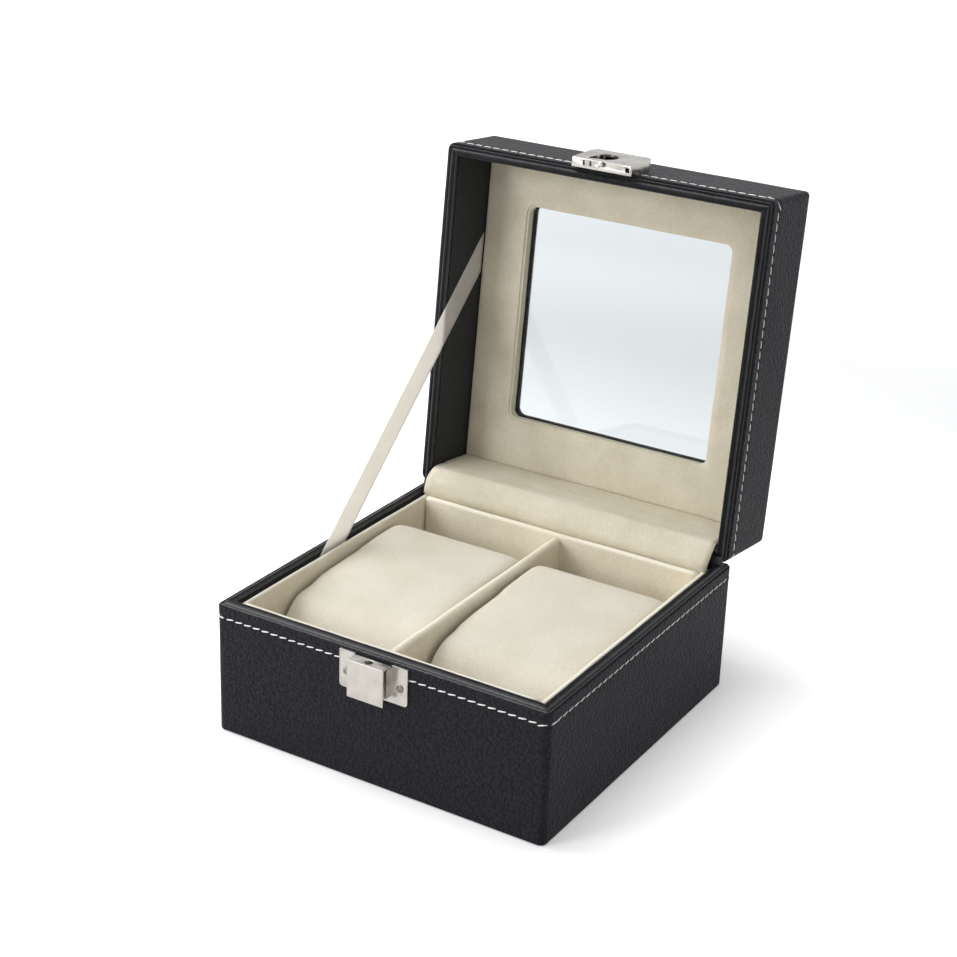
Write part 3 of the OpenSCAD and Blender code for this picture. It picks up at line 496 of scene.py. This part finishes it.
def piece(name, points, faces, finish, body=None):
    """A mesh piece from points in metres and riding on a body where these are given."""
    mesh = bpy.data.meshes.new(name)
    mesh.from_pydata([tuple(p) for p in points], [], faces)
    mesh.materials.append(finish)
    face_out(mesh, 1e-7)
    o = placed_object(name, mesh)
    if body:
        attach(o, body)
    return o


def finish_modifiers(o):
    """The object's modifiers made into its mesh."""
    graph = bpy.context.evaluated_depsgraph_get()
    done = bpy.data.meshes.new_from_object(o.evaluated_get(graph))
    o.modifiers.clear()
    old = o.data
    o.data = done
    done.name = o.name
    bpy.data.meshes.remove(old)


def wobble(p, size, amount, seed):
    """A smooth random shift at a point in millimetres."""
    q = Vector(p) / size + Vector((seed, seed * 1.7, -seed))
    return noise.noise_vector(q) * amount


def round_loop(w, d, r, side=24):
    """Points round a rectangle with round corners, the same number for every size; side is how many steps
    each straight side has."""
    corners = [arc(cx * (w / 2 - r), cy * (d / 2 - r), r, 90 * k, 90 / 8, 9)
               for k, (cx, cy) in enumerate(((1, 1), (-1, 1), (-1, -1), (1, -1)))]
    pts = []
    for here, after in zip(corners, corners[1:] + corners[:1]):
        pts += here + straight(here[-1], after[0], side)[1:]
    return pts


def window_loop(grow, z, side=24):
    """A loop round the window at height z, grown all round."""
    w, d, r = WINDOW
    return [(x, y + WINDOW_SHIFT, z) for x, y in round_loop(w + 2 * grow, d + 2 * grow, r + grow, side)]


def between(a, b, n):
    """n loops evenly between two loops."""
    return [[tuple(np.array(p) * (1 - s) + np.array(q) * s) for p, q in zip(a, b)]
            for s in [i / (n + 1) for i in range(1, n + 1)]]


def lofted(name, loops, finish, body, soft, seed, move=None, level=False):
    """A closed skin through equal loops of points in millimetres, its last loop joined to its first; soft
    makes it slightly uneven, and level keeps every point at its height."""
    pts = []
    for p in [p for loop in loops for p in loop]:
        shift = wobble(p, size=16.0, amount=soft, seed=seed)
        if level:
            shift.z = 0
        pts.append((Vector(p) + shift) * MM)
    if move is not None:
        pts = [move @ p for p in pts]
    return piece(name, pts, skin(len(loops), len(loops[0]), closed=True), finish, body)


def lining_card(node, length_axis, seed, stand=None, rise=0.0):
    """A velvet-covered card in a lining node's place: round top edge, slightly uneven face. Stand gives its
    two faces where the soft card leans from the walls, and rise how far its fold stands above the card."""
    lo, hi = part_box(node)
    lo, hi = [v / MM for v in lo], [v / MM for v in hi]
    a, t = (0, 1) if length_axis == "X" else (1, 0)
    if stand:
        lo[t], hi[t] = stand
    mid, half = (lo[t] + hi[t]) / 2, (hi[t] - lo[t]) / 2
    foot, bend = lo[2], hi[2] + rise - half
    up, across = 14, 40
    ring = straight((-half, foot), (-half, bend), up) + arc(0, bend, half, 180, -15, 13)
    ring += straight((half, bend), (half, foot), up)[1:] + [(half, foot)]
    pts = []
    for i in range(across + 1):
        s = lo[a] + (hi[a] - lo[a]) * i / across
        for u, z in ring:
            p = [0, 0, z]
            p[a], p[t] = s, mid + u
            shift = wobble(p, size=18.0, amount=0.18, seed=seed)
            q = Vector(p)
            q[t] += shift[t] * 0.6
            if z > foot + 1:
                q[2] += shift[2]
            pts.append(q * MM)
    n = len(ring)
    faces = skin(across + 1, n) + [tuple(range(n)), tuple(across * n + k for k in reversed(range(n)))]
    o = piece(node + "_velvet", pts, faces, EDGED_VELVET, "base")
    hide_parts(node)


def prism(name, outline, low, high, placed=LAID_OPEN):
    """A closed solid of (x, z) outline points between two depths, placed as on the open lid's front."""
    pts = [placed @ (Vector((x, y, z)) * MM) for y in (low, high) for x, z in outline]
    n = len(outline)
    faces = [tuple(range(n)), tuple(n + i for i in reversed(range(n)))]
    faces += [(i, n + i, n + (i + 1) % n, (i + 1) % n) for i in range(n)]
    mesh = bpy.data.meshes.new(name)
    mesh.from_pydata([tuple(p) for p in pts], [], faces)
    face_out(mesh, 1e-7, smooth=False)
    return placed_object(name, mesh)


def press(o, what, cutter):
    """Cut the object with a cutter, and clear the cutter away."""
    cut = o.modifiers.new("press", "BOOLEAN")
    cut.operation = what
    cut.solver = "EXACT"
    cut.object = cutter
    finish_modifiers(o)
    bpy.data.objects.remove(cutter)


def hasp_cutters():
    """What the press takes off the hasp: its far corners' rounding, and the full drop-shaped opening."""
    w, r = HASP_W / 2, HASP_ROUND
    lip, end = HASP_LOW, HASP_LOW + HASP_H
    keep = [(-w - 1, lip - 1), (w + 1, lip - 1), (w + 1, end - r - 2), (w, end - r)]
    keep += arc(w - r, end - r, r, 7.5, 7.5, 11) + arc(r - w, end - r, r, 97.5, 7.5, 11)
    keep += [(-w, end - r), (-w - 1, end - r - 2)]
    x, z, eye_r = HASP_EYE
    left, right, up = HASP_EYE_FOOT
    eye = [(left, lip + up), (right, lip + up)] + arc(x, lip + z, eye_r, -62, 8.2, 25)
    return [("INTERSECT", prism("hasp_outline", keep, -HALF - 12, -HALF + 12)),
            ("DIFFERENCE", prism("hasp_opening", eye, -HALF - 12, -HALF + 0.4))]


def hard_copy(node, width, finish, segments=2, cutters=()):
    """The node's own form with its sharp edges broken, as pressed and tumbled metal has them."""
    src = frame["nodes"][node]
    mesh = src.data.copy()
    mesh.name = node + "_metal"
    face_out(mesh, 2e-6, flat_angle=math.radians(0.5))
    mesh.materials.clear()
    mesh.materials.append(finish)
    o = placed_object(node + "_metal", mesh)
    for what, cutter in cutters:
        press(o, what, cutter)
    edge = o.modifiers.new("broken_edges", "BEVEL")
    edge.width = width * MM
    edge.segments = segments
    edge.limit_method = "ANGLE"
    edge.angle_limit = math.radians(35)
    edge.harden_normals = True
    finish_modifiers(o)
    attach(o, src["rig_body"])
    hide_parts(node)


# ---------------------------------------------------------------- leather sides with their turned edges
def shell_loop(inset, z, r=CORNER_R):
    """A loop round the case's outside at height z, set in from it."""
    side = 2 * (HALF - inset)
    return [(x, y, z) for x, y in round_loop(side, side, max(r - inset, 0.05), side=40)]


def side_profile(shoulder, up):
    """Inset and height of a leather side, from near its far edge to inside the shoulder: the pull of the
    stitches, then the leather's turned edge as a small bead beside the padded rim."""
    row = shoulder - up * STITCH_DROP
    edge = shoulder - up * 0.8
    return ([(0.0, row - up * 0.9), (0.1, row - up * 0.35), (0.16, row), (0.1, row + up * 0.35),
             (0.0, row + up * 0.9), (0.0, edge - up * 0.4), (0.0, edge + up * 0.3), (0.1, edge + up * 0.55),
             (0.34, edge + up * 0.67), (0.6, edge + up * 0.6), (0.78, edge + up * 0.35), (0.86, edge),
             (0.9, edge - up * 0.6)])


# Inset and height of the leather, from under the floor board round the foot to the shoulder and back inside
base_side = [(10, 0.6), (10, 0.0), (5, 0.0), (0.8, 0.0), (0.49, 0.06), (0.23, 0.23), (0.06, 0.49), (0.0, 0.8)]
base_side += [(0.0, z) for z in (6, 12, 18, 24, 30, 36, 40)] + side_profile(SHOULDER, 1) + [(0.9, 0.6)]
base_leather = lofted("base_side_leather", [shell_loop(*p) for p in base_side], LEATHER, "base", 0.07, 9.0,
                      level=True)
bore = arc(0, GUIDE_Z, GUIDE_BORE, 0, 15, 24)
press(base_leather, "DIFFERENCE", prism("guide_pin_bore", bore, -HALF - 1, -HALF + 2, placed=Matrix()))
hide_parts("base_wrap")


def lid_side_loops():
    """Leather over the lid: its side, its top's round edge, the top, and down into the window."""
    foot, top, r, thick = 54.0, LID_TOP, 1.6, 0.9
    side = [(thick, foot)] + side_profile(LID_SHOULDER, -1)[::-1]
    side += [(0.0, z) for z in (58, 62, 66, 70, 74, 78)] + arc(r, top - r, r, 180, -15, 7)
    loops = [shell_loop(inset, z, CORNER_R - 0.9 * (z - foot) / 28) for inset, z in side]
    rim = window_loop(0.8, top, 40)
    loops += between(loops[-1], rim, 6) + [rim]
    loops += [window_loop(grow, z, 40) for grow, z in (
        (0.3, top - 0.12), (0.05, top - 0.4), (0, top - 0.9), (0, BOARD_Z + 0.02), (thick, BOARD_Z + 0.02),
        (thick, top - thick))]
    return loops + [shell_loop(0.95, top - 0.95)]


lid_leather = lofted("lid_side_leather", lid_side_loops(), LEATHER, "lid", 0.07, 4.0,
                     move=LAID_OPEN, level=True)
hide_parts("lid_wrap")

# Cross-section of a padded rim: distance out from the walls' inside face, height above the shoulder
RIM_LINE = (
    (0.2, -0.8), (0.2, -0.2), (0.2, 0.3), (0.32, 0.7), (0.62, 1.0), (1.0, 1.16), (1.4, 1.2), (1.8, 1.14),
    (2.2, 0.98), (2.55, 0.72), (2.8, 0.38), (2.95, 0.05), (3.05, 0.0), (3.15, 0.12), (3.3, 0.3), (3.5, 0.38),
    (3.7, 0.3), (3.86, 0.1), (3.95, -0.2), (4.0, -0.5), (4.2, -0.6), (4.2, -0.8))
RIM_TOP = 1.2          # the pad's height above the shoulder
PAD_EDGE = 2.9         # how far out the pad reaches
RIM_INSET = 0.5        # from the case's outside to the rim's outer edge


def pad_creases(x, u, h, k, up, pucker):
    """The pad's height with its pinch at the mitres, its creases and its fine puckers."""
    from_end = (1 - abs(x) / (INSIDE + u)) * INSIDE
    h -= 0.22 * math.exp(-(from_end / 0.9) ** 2) * min(1.0, u)
    h += 0.09 * noise.noise(Vector((x / 14.0 + 7 * k, u * 1.6, 3.0 * up)))
    h += 0.05 * noise.noise(Vector((x / 4.0, u * 2.4, 5.0 * up + k)))
    h += pucker * noise.noise(Vector((x / 0.9, u / 2.0, 9.0 + k)))
    return min(h, RIM_TOP)


def in_corner(x, y):
    """A front rim's point kept inside the case's round corners."""
    r = CORNER_R - RIM_INSET
    middle = HALF - RIM_INSET - r
    dx, dy = abs(x) - middle, -middle - y
    far = math.hypot(dx, dy)
    if dx <= 0 or dy <= 0 or far <= r:
        return x, y
    return math.copysign(middle + dx * r / far, x), -middle - dy * r / far


def padded_rim(name, k, node, body, shoulder, up, move=None, pucker=0.03):
    """Leather rolled over a thin pad along one side, creased, puckered and pinched at its mitres. Sides are
    counted from the front by k, and up is -1 on the lid, whose rim looks down when it is shut."""
    turn = Matrix.Rotation(math.radians(90 * k), 3, "Z")
    steps = 260
    pts = []
    for i in range(steps + 1):
        s = math.sin(math.radians(90 * (2 * i / steps - 1)))
        for u, h in RIM_LINE:
            x = s * (INSIDE + u)
            if h > 0.1 and u < PAD_EDGE:
                h = pad_creases(x, u, h, k, up, pucker)
            p = turn @ Vector((*in_corner(x, -(INSIDE + u)), 0))
            pts.append(Vector((p.x, p.y, shoulder + up * h)) * MM)
    n = len(RIM_LINE)
    faces = skin(steps + 1, n) + [tuple(range(n)), tuple(steps * n + j for j in reversed(range(n)))]
    if move is not None:
        pts = [move @ p for p in pts]
    o = piece(name, pts, faces, LID_RIM if body == "lid" else RIM, body)
    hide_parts(node)


for k, side in enumerate(("front", "right", "rear", "left")):
    padded_rim("base_rim_" + side + "_leather", k, "base_rim_" + side, "base", SHOULDER, 1)
    padded_rim("lid_rim_" + side + "_leather", k, "lid_rim_" + side, "lid", LID_SHOULDER, -1, LAID_OPEN,
               pucker=0.09)


# ---------------------------------------------------------------- velvet linings of the base
lining_card("front_lining", "X", seed=1.0, rise=0.8)
lining_card("rear_lining", "X", seed=2.0, stand=(52.4, 54.9))
lining_card("left_lining", "Y", seed=3.0, stand=(-59.7, -58.1))
lining_card("right_lining", "Y", seed=4.0)
lining_card("divider", "Y", seed=5.0)


# ---------------------------------------------------------------- lid panel with its window
def panel_loops():
    """Velvet panel: face, soft edge round the window, its wall, and the rebate that holds the glass."""
    side = 2 * (INSIDE - 0.4)
    outer = [[(x, y, z) for x, y in round_loop(side - 2 * inset, side - 2 * inset, 0.6)] for inset, z in (
        (0, BOARD_Z), (0, PANEL_Z + 0.7), (0.25, PANEL_Z + 0.15), (0.8, PANEL_Z))]
    brink = window_loop(1.2, PANEL_Z)
    rolled = [window_loop(grow, PANEL_Z + up) for grow, up in (
        (1.0, 0.1), (0.92, 0.55), (0.8, 0.65), (0.45, 0.5), (0.12, 0.62), (0, 1.0), (0, 1.8))]
    seat = GLASS_Z - 0.05
    rebate = [window_loop(grow, z) for grow, z in ((0, seat), (3.8, seat), (3.8, BOARD_Z))]
    return outer + between(outer[-1], brink, 8) + [brink] + rolled + rebate


panel = lofted("lid_panel_velvet", panel_loops(), VELVET, "lid", 0.12, 6.0, move=LAID_OPEN)
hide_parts("lid_panel")


# ---------------------------------------------------------------- sheets that bend between base and lid
def opened(y, z):
    """y and z of a point on the shut lid, when the lid stands open."""
    p = LAID_OPEN @ Vector((0, y * MM, z * MM))
    return (p.y / MM, p.z / MM)


def cubic(p0, p1, p2, p3, n):
    """n even steps along a smooth bend from p0 to p3, drawn towards p1 and p2."""
    return [tuple((1 - t) ** 3 * a + 3 * (1 - t) ** 2 * t * b + 3 * (1 - t) * t * t * c + t ** 3 * d
                  for a, b, c, d in zip(p0, p1, p2, p3)) for t in [i / n for i in range(n + 1)]]


def bent_sheet(name, left, right, half_w, thick, finish, ripple=0.0, seed=0.0):
    """A sheet between two equal lines of (y, z) points, half_w to each side of the middle; ripple makes it
    wavy along its width. Gives the sheet and its length."""
    n, across = len(left), 48
    pts = []
    for side in (0.5, -0.5):
        for j in range(across + 1):
            x = -half_w + 2 * half_w * j / across
            line = [np.array(a) * (1 - j / across) + np.array(b) * (j / across) for a, b in zip(left, right)]
            for i, (y, z) in enumerate(line):
                along = line[min(i + 1, n - 1)] - line[max(i - 1, 0)]
                d = math.hypot(*along)
                s = side * thick + ripple * noise.noise(Vector((x / 30.0 + seed, y / 3.5, z / 3.5)))
                pts.append(Vector((x, y - along[1] / d * s, z + along[0] / d * s)) * MM)
    o = piece(name, pts, slab(across + 1, n), finish)
    return o, sum(math.dist(a, b) for a, b in zip(left, left[1:]))


def hinge_line(depth, foot, top, tail, lead, push):
    """Down inside the lid, over the joint and down inside the base: depth and foot are how far in from the
    walls it lies in the lid and in the base, top is its end in the lid and tail its length in the base, and
    lead and push bend it over the joint."""
    start = opened(INSIDE - depth, LID_SHOULDER + 0.4)
    end = (INSIDE - foot, CARD_TOP)
    led = (start[0] + lead[0], start[1] + lead[1])
    pushed = (end[0] + push[0], end[1] + push[1])
    return (straight(opened(INSIDE - depth, top), start, 14) + cubic(start, led, pushed, end, 24)
            + straight(end, (end[0], end[1] - tail), 8)[1:])


# The flap bulges further forward at its left end than at its right
flap, flap_l = bent_sheet(
    "hinge_flap_velvet",
    hinge_line(1.3, 5.0, PANEL_Z - 0.2, FLAP_TAIL, lead=(-3.5, -0.5), push=(-2.3, 3.2)),
    hinge_line(1.3, 5.0, PANEL_Z - 0.2, FLAP_TAIL, lead=(-2.2, -1.5), push=(-1.5, 2.0)),
    FLAP_HALF_W, FLAP_THICK, VELVET, ripple=0.5, seed=3.1)
low = hinge_line(0.35, 0.35, LID_SHOULDER + STRIP_TAIL, STRIP_TAIL, lead=(-0.2, -1.0), push=(-0.5, 1.5))
strip, strip_l = bent_sheet("hinge_strip_leather", low, low, STRIP_HALF_W, STRIP_THICK, HINGE_SKIN)
for o, node, w, l in (
        (flap, "hinge_flap", FLAP_HALF_W, flap_l), (strip, "hinge_strip", STRIP_HALF_W, strip_l)):
    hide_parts(node)
    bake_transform(o)


def stay_ribbon():
    """Satin ribbon, taut from the pocket beside the left lining to the lid's left wall, where its end is cut
    along the panel."""
    low = np.array((RIBBON_Y, CARD_TOP))
    high = np.array(opened(RIBBON_LID_Y, PANEL_Z - 0.2))
    run = (high - low) / np.linalg.norm(high - low)
    side = np.array((-run[1], run[0])) * RIBBON_HALF_W
    foot = low - run * RIBBON_TAIL
    panel_dir = np.array(opened(1.0, 0.0)) - np.array(opened(0.0, 0.0))
    cut = panel_dir * RIBBON_HALF_W / abs(run[1] * panel_dir[0] - run[0] * panel_dir[1])
    along, across = 60, 6
    pts = []
    for x in RIBBON_FACES:
        for i in range(along + 1):
            front = foot - side + (high + cut - foot + side) * i / along
            rear = foot + side + (high - cut - foot - side) * i / along
            for j in range(across + 1):
                y, z = front + (rear - front) * j / across
                pts.append(Vector((x, y, z)) * MM)
    o = piece("stay_ribbon_satin", pts, slab(along + 1, across + 1), SATIN)
    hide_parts("stay_ribbon")
    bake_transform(o)


stay_ribbon()

# ---------------------------------------------------------------- stitches
THREAD_SIZES = {"Pitch": 3.7 * MM, "Stitch Length": 3.65 * MM, "Thread Radius": 0.26 * MM, "Slant": 0.17}
THREAD_SINK = 0.12     # how deep the middle of the thread lies in the leather
BASE_GAP, LID_GAP = 14.6, 13.6  # half the gaps in the rows, for the clasp and the hasp


def stitch_tree():
    """Stitches along a curve: a drawn-in capsule of thread at each step, its back in the leather."""
    tree = bpy.data.node_groups.new("row_of_stitches", "GeometryNodeTree")
    face = tree.interface
    face.new_socket("Geometry", in_out="INPUT", socket_type="NodeSocketGeometry")
    for label, value in THREAD_SIZES.items():
        face.new_socket(label, in_out="INPUT", socket_type="NodeSocketFloat").default_value = value
    face.new_socket("Finish", in_out="INPUT", socket_type="NodeSocketMaterial")
    face.new_socket("Geometry", in_out="OUTPUT", socket_type="NodeSocketGeometry")
    given = add(tree, "NodeGroupInput").outputs
    radius = given["Thread Radius"]
    rod = add(tree, "GeometryNodeMeshCylinder", {
        "Vertices": 8, "Side Segments": 8, "Radius": radius, "Depth": given["Stitch Length"]})
    at = add(tree, "ShaderNodeSeparateXYZ", {0: add(tree, "GeometryNodeInputPosition")}).outputs
    # Share of the way to the stitch's end, from which its taper and its dip into the leather follow
    half = add(tree, "ShaderNodeMath", {0: given["Stitch Length"], 1: 0.5}, operation="MULTIPLY")
    share = add(tree, "ShaderNodeMath", {0: at["Z"], 1: half}, operation="DIVIDE")
    square = add(tree, "ShaderNodeMath", {0: share, 1: share}, operation="MULTIPLY")
    fourth = add(tree, "ShaderNodeMath", {0: square, 1: square}, operation="MULTIPLY")
    taper = add(tree, "ShaderNodeMath", {0: 1.0, 1: fourth}, operation="SUBTRACT")
    taper = add(tree, "ShaderNodeMath", {0: taper, 1: 0.0}, operation="MAXIMUM")
    taper = add(tree, "ShaderNodeMath", {0: taper}, operation="SQRT")
    dip = add(tree, "ShaderNodeMath", {0: radius, 1: -0.7}, operation="MULTIPLY")
    dip = add(tree, "ShaderNodeMath", {0: square, 1: dip}, operation="MULTIPLY")
    out_x = add(tree, "ShaderNodeMath", {0: at["X"], 1: taper, 2: dip}, operation="MULTIPLY_ADD")
    out_y = add(tree, "ShaderNodeMath", {0: at["Y"], 1: taper}, operation="MULTIPLY")
    moved = add(tree, "ShaderNodeCombineXYZ", {0: out_x, 1: out_y, 2: at["Z"]})
    shaped = add(tree, "GeometryNodeSetPosition", {"Geometry": rod, "Position": moved})
    closed = add(tree, "GeometryNodeMergeByDistance", {"Geometry": shaped, "Distance": 1e-6})
    steps = add(tree, "GeometryNodeResampleCurve", {"Curve": given["Geometry"], "Length": given["Pitch"]},
                mode="LENGTH")
    tangent = add(tree, "GeometryNodeInputTangent")
    outward = add(tree, "ShaderNodeVectorMath", {0: tangent, 1: (0, 0, 1)}, operation="CROSS_PRODUCT")
    turn = add(tree, "FunctionNodeAlignRotationToVector", {"Vector": tangent}, axis="Z")
    turn = add(tree, "FunctionNodeAlignRotationToVector", {"Rotation": turn, "Vector": outward},
               axis="X", pivot_axis="Z")
    slant = add(tree, "ShaderNodeCombineXYZ", {0: given["Slant"]})
    lean = add(tree, "FunctionNodeRotateRotation", {"Rotation": turn, "Rotate By": slant},
               rotation_space="LOCAL")
    spread = add(tree, "GeometryNodeInstanceOnPoints", {
        "Points": steps, "Instance": closed, "Rotation": lean})
    real = add(tree, "GeometryNodeRealizeInstances", {"Geometry": spread})
    dyed = add(tree, "GeometryNodeSetMaterial", {"Geometry": real, "Material": given["Finish"]})
    add(tree, "NodeGroupOutput", {0: dyed})
    return tree


STITCHES = stitch_tree()


def stitch_row(name, line, body, move=None):
    """A row of stitches along points in metres."""
    curve = bpy.data.curves.new(name + "_line", "CURVE")
    curve.dimensions = "3D"
    s = curve.splines.new("POLY")
    s.points.add(len(line) - 1)
    for p, q in zip(s.points, line):
        p.co = (*q, 1)
    o = placed_object(name + "_line", curve)
    m = o.modifiers.new("stitches", "NODES")
    m.node_group = STITCHES
    ids = {i.name: i.identifier for i in STITCHES.interface.items_tree if i.in_out == "INPUT"}
    for key, value in THREAD_SIZES.items():
        m[ids[key]] = value
    m[ids["Finish"]] = THREAD
    graph = bpy.context.evaluated_depsgraph_get()
    mesh = bpy.data.meshes.new_from_object(o.evaluated_get(graph))
    mesh.name = name
    bpy.data.objects.remove(o)
    if move is not None:
        mesh.transform(move)
    for f in mesh.polygons:
        f.use_smooth = True
    done = placed_object(name, mesh)
    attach(done, body)


def wall_line(z, gap):
    """Round the case's outside at height z, from the right of a gap at the front round to its left, in the
    leather by the thread's sink."""
    middle, r = HALF - CORNER_R, CORNER_R - THREAD_SINK
    pts = [(gap, -middle - r)]
    for k, (cx, cy) in enumerate(((1, -1), (1, 1), (-1, 1), (-1, -1))):
        pts += arc(cx * middle, cy * middle, r, 90 * k - 90, 90 / 8, 9)
    pts.append((-gap, -middle - r))
    return [(x * MM, y * MM, z * MM) for x, y in pts]


stitch_row("base_stitches", wall_line(SHOULDER - STITCH_DROP, BASE_GAP), "base")
stitch_row("lid_stitches", wall_line(LID_SHOULDER + STITCH_DROP, LID_GAP), "lid", LAID_OPEN)

# ---------------------------------------------------------------- metal with broken edges
hard_copy("latch_housing", 0.15, NICKEL)
hard_copy("latch_button", 0.22, NICKEL, 3)
hard_copy("hasp_plate", 0.2, BRIGHT, 3, cutters=hasp_cutters())
hard_copy("latch_rivets", 0.1, RIVET)
coil = frame["nodes"]["latch_spring"]
spring = piece("latch_spring_coil", [coil.matrix_world @ v.co for v in coil.data.vertices],
               [tuple(f.vertices) for f in coil.data.polygons], WIRE)
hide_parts("latch_spring")
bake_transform(spring)

# ---------------------------------------------------------------- watch pillows
# Rounds of a pillow's side view: middle along the case, middle's height and radius
PILLOW_ROUNDS = ((-49, 12.1, 7), (31.5, 12.1, 7), (28, 35.9, 9.6), (-10, 29.6, 14), (-27.5, 29.5, 12.3))
PILLOW_EDGE = 2.0      # roundness of the pillow's side edges
PILLOW_WIDER = {"left": (0.8, 0.2), "right": (-0.2, 0.3)}  # how far each side bulges towards its lining
PILLOW_START = 0.3     # how much smaller it starts before it is filled
PILLOW_MESH = 2.1      # size of its faces before they are halved
PILLOW_SWELL = 1.0     # how far the filling may push the cover
PILLOW_CALM = 80       # rounds of evening out the push, as the foam under the cover does


def sewn_form(name, lo, hi):
    """The cover as sewn: a skin drawn tight over the rounds of its side view, evenly meshed and smoothed."""
    bm = bmesh.new()
    for step in range(5):
        a = math.radians(90 * step / 4)
        take = PILLOW_EDGE * (1 - math.sin(a)) + PILLOW_START
        less = PILLOW_EDGE * (1 - math.cos(a)) + PILLOW_START
        for y, z, r in PILLOW_ROUNDS:
            for py, pz in arc(y, z, r - take, 0, 360 / 28, 28):
                for x in (lo.x + less, hi.x - less):
                    bm.verts.new(Vector((x, py, pz)) * MM)
    hull = bmesh.ops.convex_hull(bm, input=bm.verts)
    inner = {v for v in hull["geom_interior"] + hull["geom_unused"] if isinstance(v, bmesh.types.BMVert)}
    bmesh.ops.delete(bm, geom=list(inner), context="VERTS")
    bmesh.ops.recalc_face_normals(bm, faces=bm.faces)
    mesh = bpy.data.meshes.new(name)
    bm.to_mesh(mesh)
    bm.free()
    mesh.materials.append(PILLOW_VELVET)
    o = placed_object(name, mesh)
    even = o.modifiers.new("even_mesh", "REMESH")
    even.mode = "VOXEL"
    even.voxel_size = PILLOW_MESH * MM
    calm = o.modifiers.new("calm", "SMOOTH")
    calm.factor = 0.5
    calm.iterations = 6
    finish_modifiers(o)
    return o


def filled(o):
    """The cover blown out by its filling, as a cloth simulation."""
    cloth = o.modifiers.new("filling", "CLOTH")
    cloth.settings.use_pressure = True
    cloth.settings.uniform_pressure_force = 4.0
    cloth.settings.mass = 0.2
    cloth.settings.quality = 6
    cloth.settings.tension_stiffness = 30
    cloth.settings.compression_stiffness = 20
    cloth.settings.shear_stiffness = 15
    cloth.settings.effector_weights.gravity = 0.0
    cloth.point_cache.frame_start = 1
    cloth.point_cache.frame_end = 20
    for f in range(1, 21):
        scene.frame_set(f)
    finish_modifiers(o)
    scene.frame_set(1)


def evened_push(o, start, now):
    """The filling's push, held to the swell and evened out over the cover."""
    push = now - start
    far = np.linalg.norm(push, axis=1, keepdims=True)
    push = push * np.minimum(1.0, PILLOW_SWELL * MM / np.maximum(far, 1e-9))
    ends = np.array([e.vertices for e in o.data.edges])
    links = np.bincount(ends.ravel(), minlength=len(now))[:, None]
    for _ in range(PILLOW_CALM):
        near = np.zeros_like(push)
        np.add.at(near, ends[:, 0], push[ends[:, 1]])
        np.add.at(near, ends[:, 1], push[ends[:, 0]])
        push = 0.5 * push + 0.5 * near / links
    return push


def pillow(side):
    """A stuffed velvet pillow: its sewn form, then its cover filled, kept to its box and smoothed."""
    name = "pillow_" + side
    lo, hi = [Vector(c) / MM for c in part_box(name + "_cover")]
    wider = PILLOW_WIDER[side]
    lo.x -= wider[0]
    hi.x += wider[1]
    o = sewn_form(name, lo, hi)
    start = np.array([v.co for v in o.data.vertices])
    filled(o)
    now = np.array([v.co for v in o.data.vertices])
    if len(now) == len(start):
        now = start + evened_push(o, start, now)
    now = np.clip(now, np.array(lo) * MM, np.array(hi) * MM)
    for v, p in zip(o.data.vertices, now):
        v.co = Vector(p)
    ease = o.modifiers.new("ease", "SMOOTH")
    ease.factor = 0.5
    ease.iterations = 2
    fine = o.modifiers.new("fine", "SUBSURF")
    fine.levels = fine.render_levels = 1
    finish_modifiers(o)
    for f in o.data.polygons:
        f.use_smooth = True
    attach(o, name)
    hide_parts(name + "_cover", name + "_core")


pillow("left")
pillow("right")


def floor_velvet():
    """Velvet on the floor of the slots, its top slightly uneven."""
    lo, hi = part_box("floor_lining")
    n = 30
    row = n + 1
    pts = []
    for i in range(row):
        for j in range(row):
            x = lo.x + (hi.x - lo.x) * i / n
            y = lo.y + (hi.y - lo.y) * j / n
            pts.append(Vector((x, y, hi.z + noise.noise(Vector((x, y, 0)) / 0.02) * 0.0001)))
    faces = [(a, a + row, a + row + 1, a + 1) for i in range(n) for a in range(i * row, i * row + n)]
    rim = [i * row for i in range(row)] + [n * row + j for j in range(1, row)]
    rim += [i * row + n for i in range(n - 1, -1, -1)] + list(range(n - 1, 0, -1))
    base = len(pts)
    pts += [Vector((pts[k].x, pts[k].y, lo.z)) for k in rim]
    for k in range(len(rim)):
        m = (k + 1) % len(rim)
        faces.append((rim[k], rim[m], base + m, base + k))
    faces.append(tuple(range(base, len(pts))))
    o = piece("floor_velvet", pts, faces, VELVET, "base")
    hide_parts("floor_lining")


floor_velvet()

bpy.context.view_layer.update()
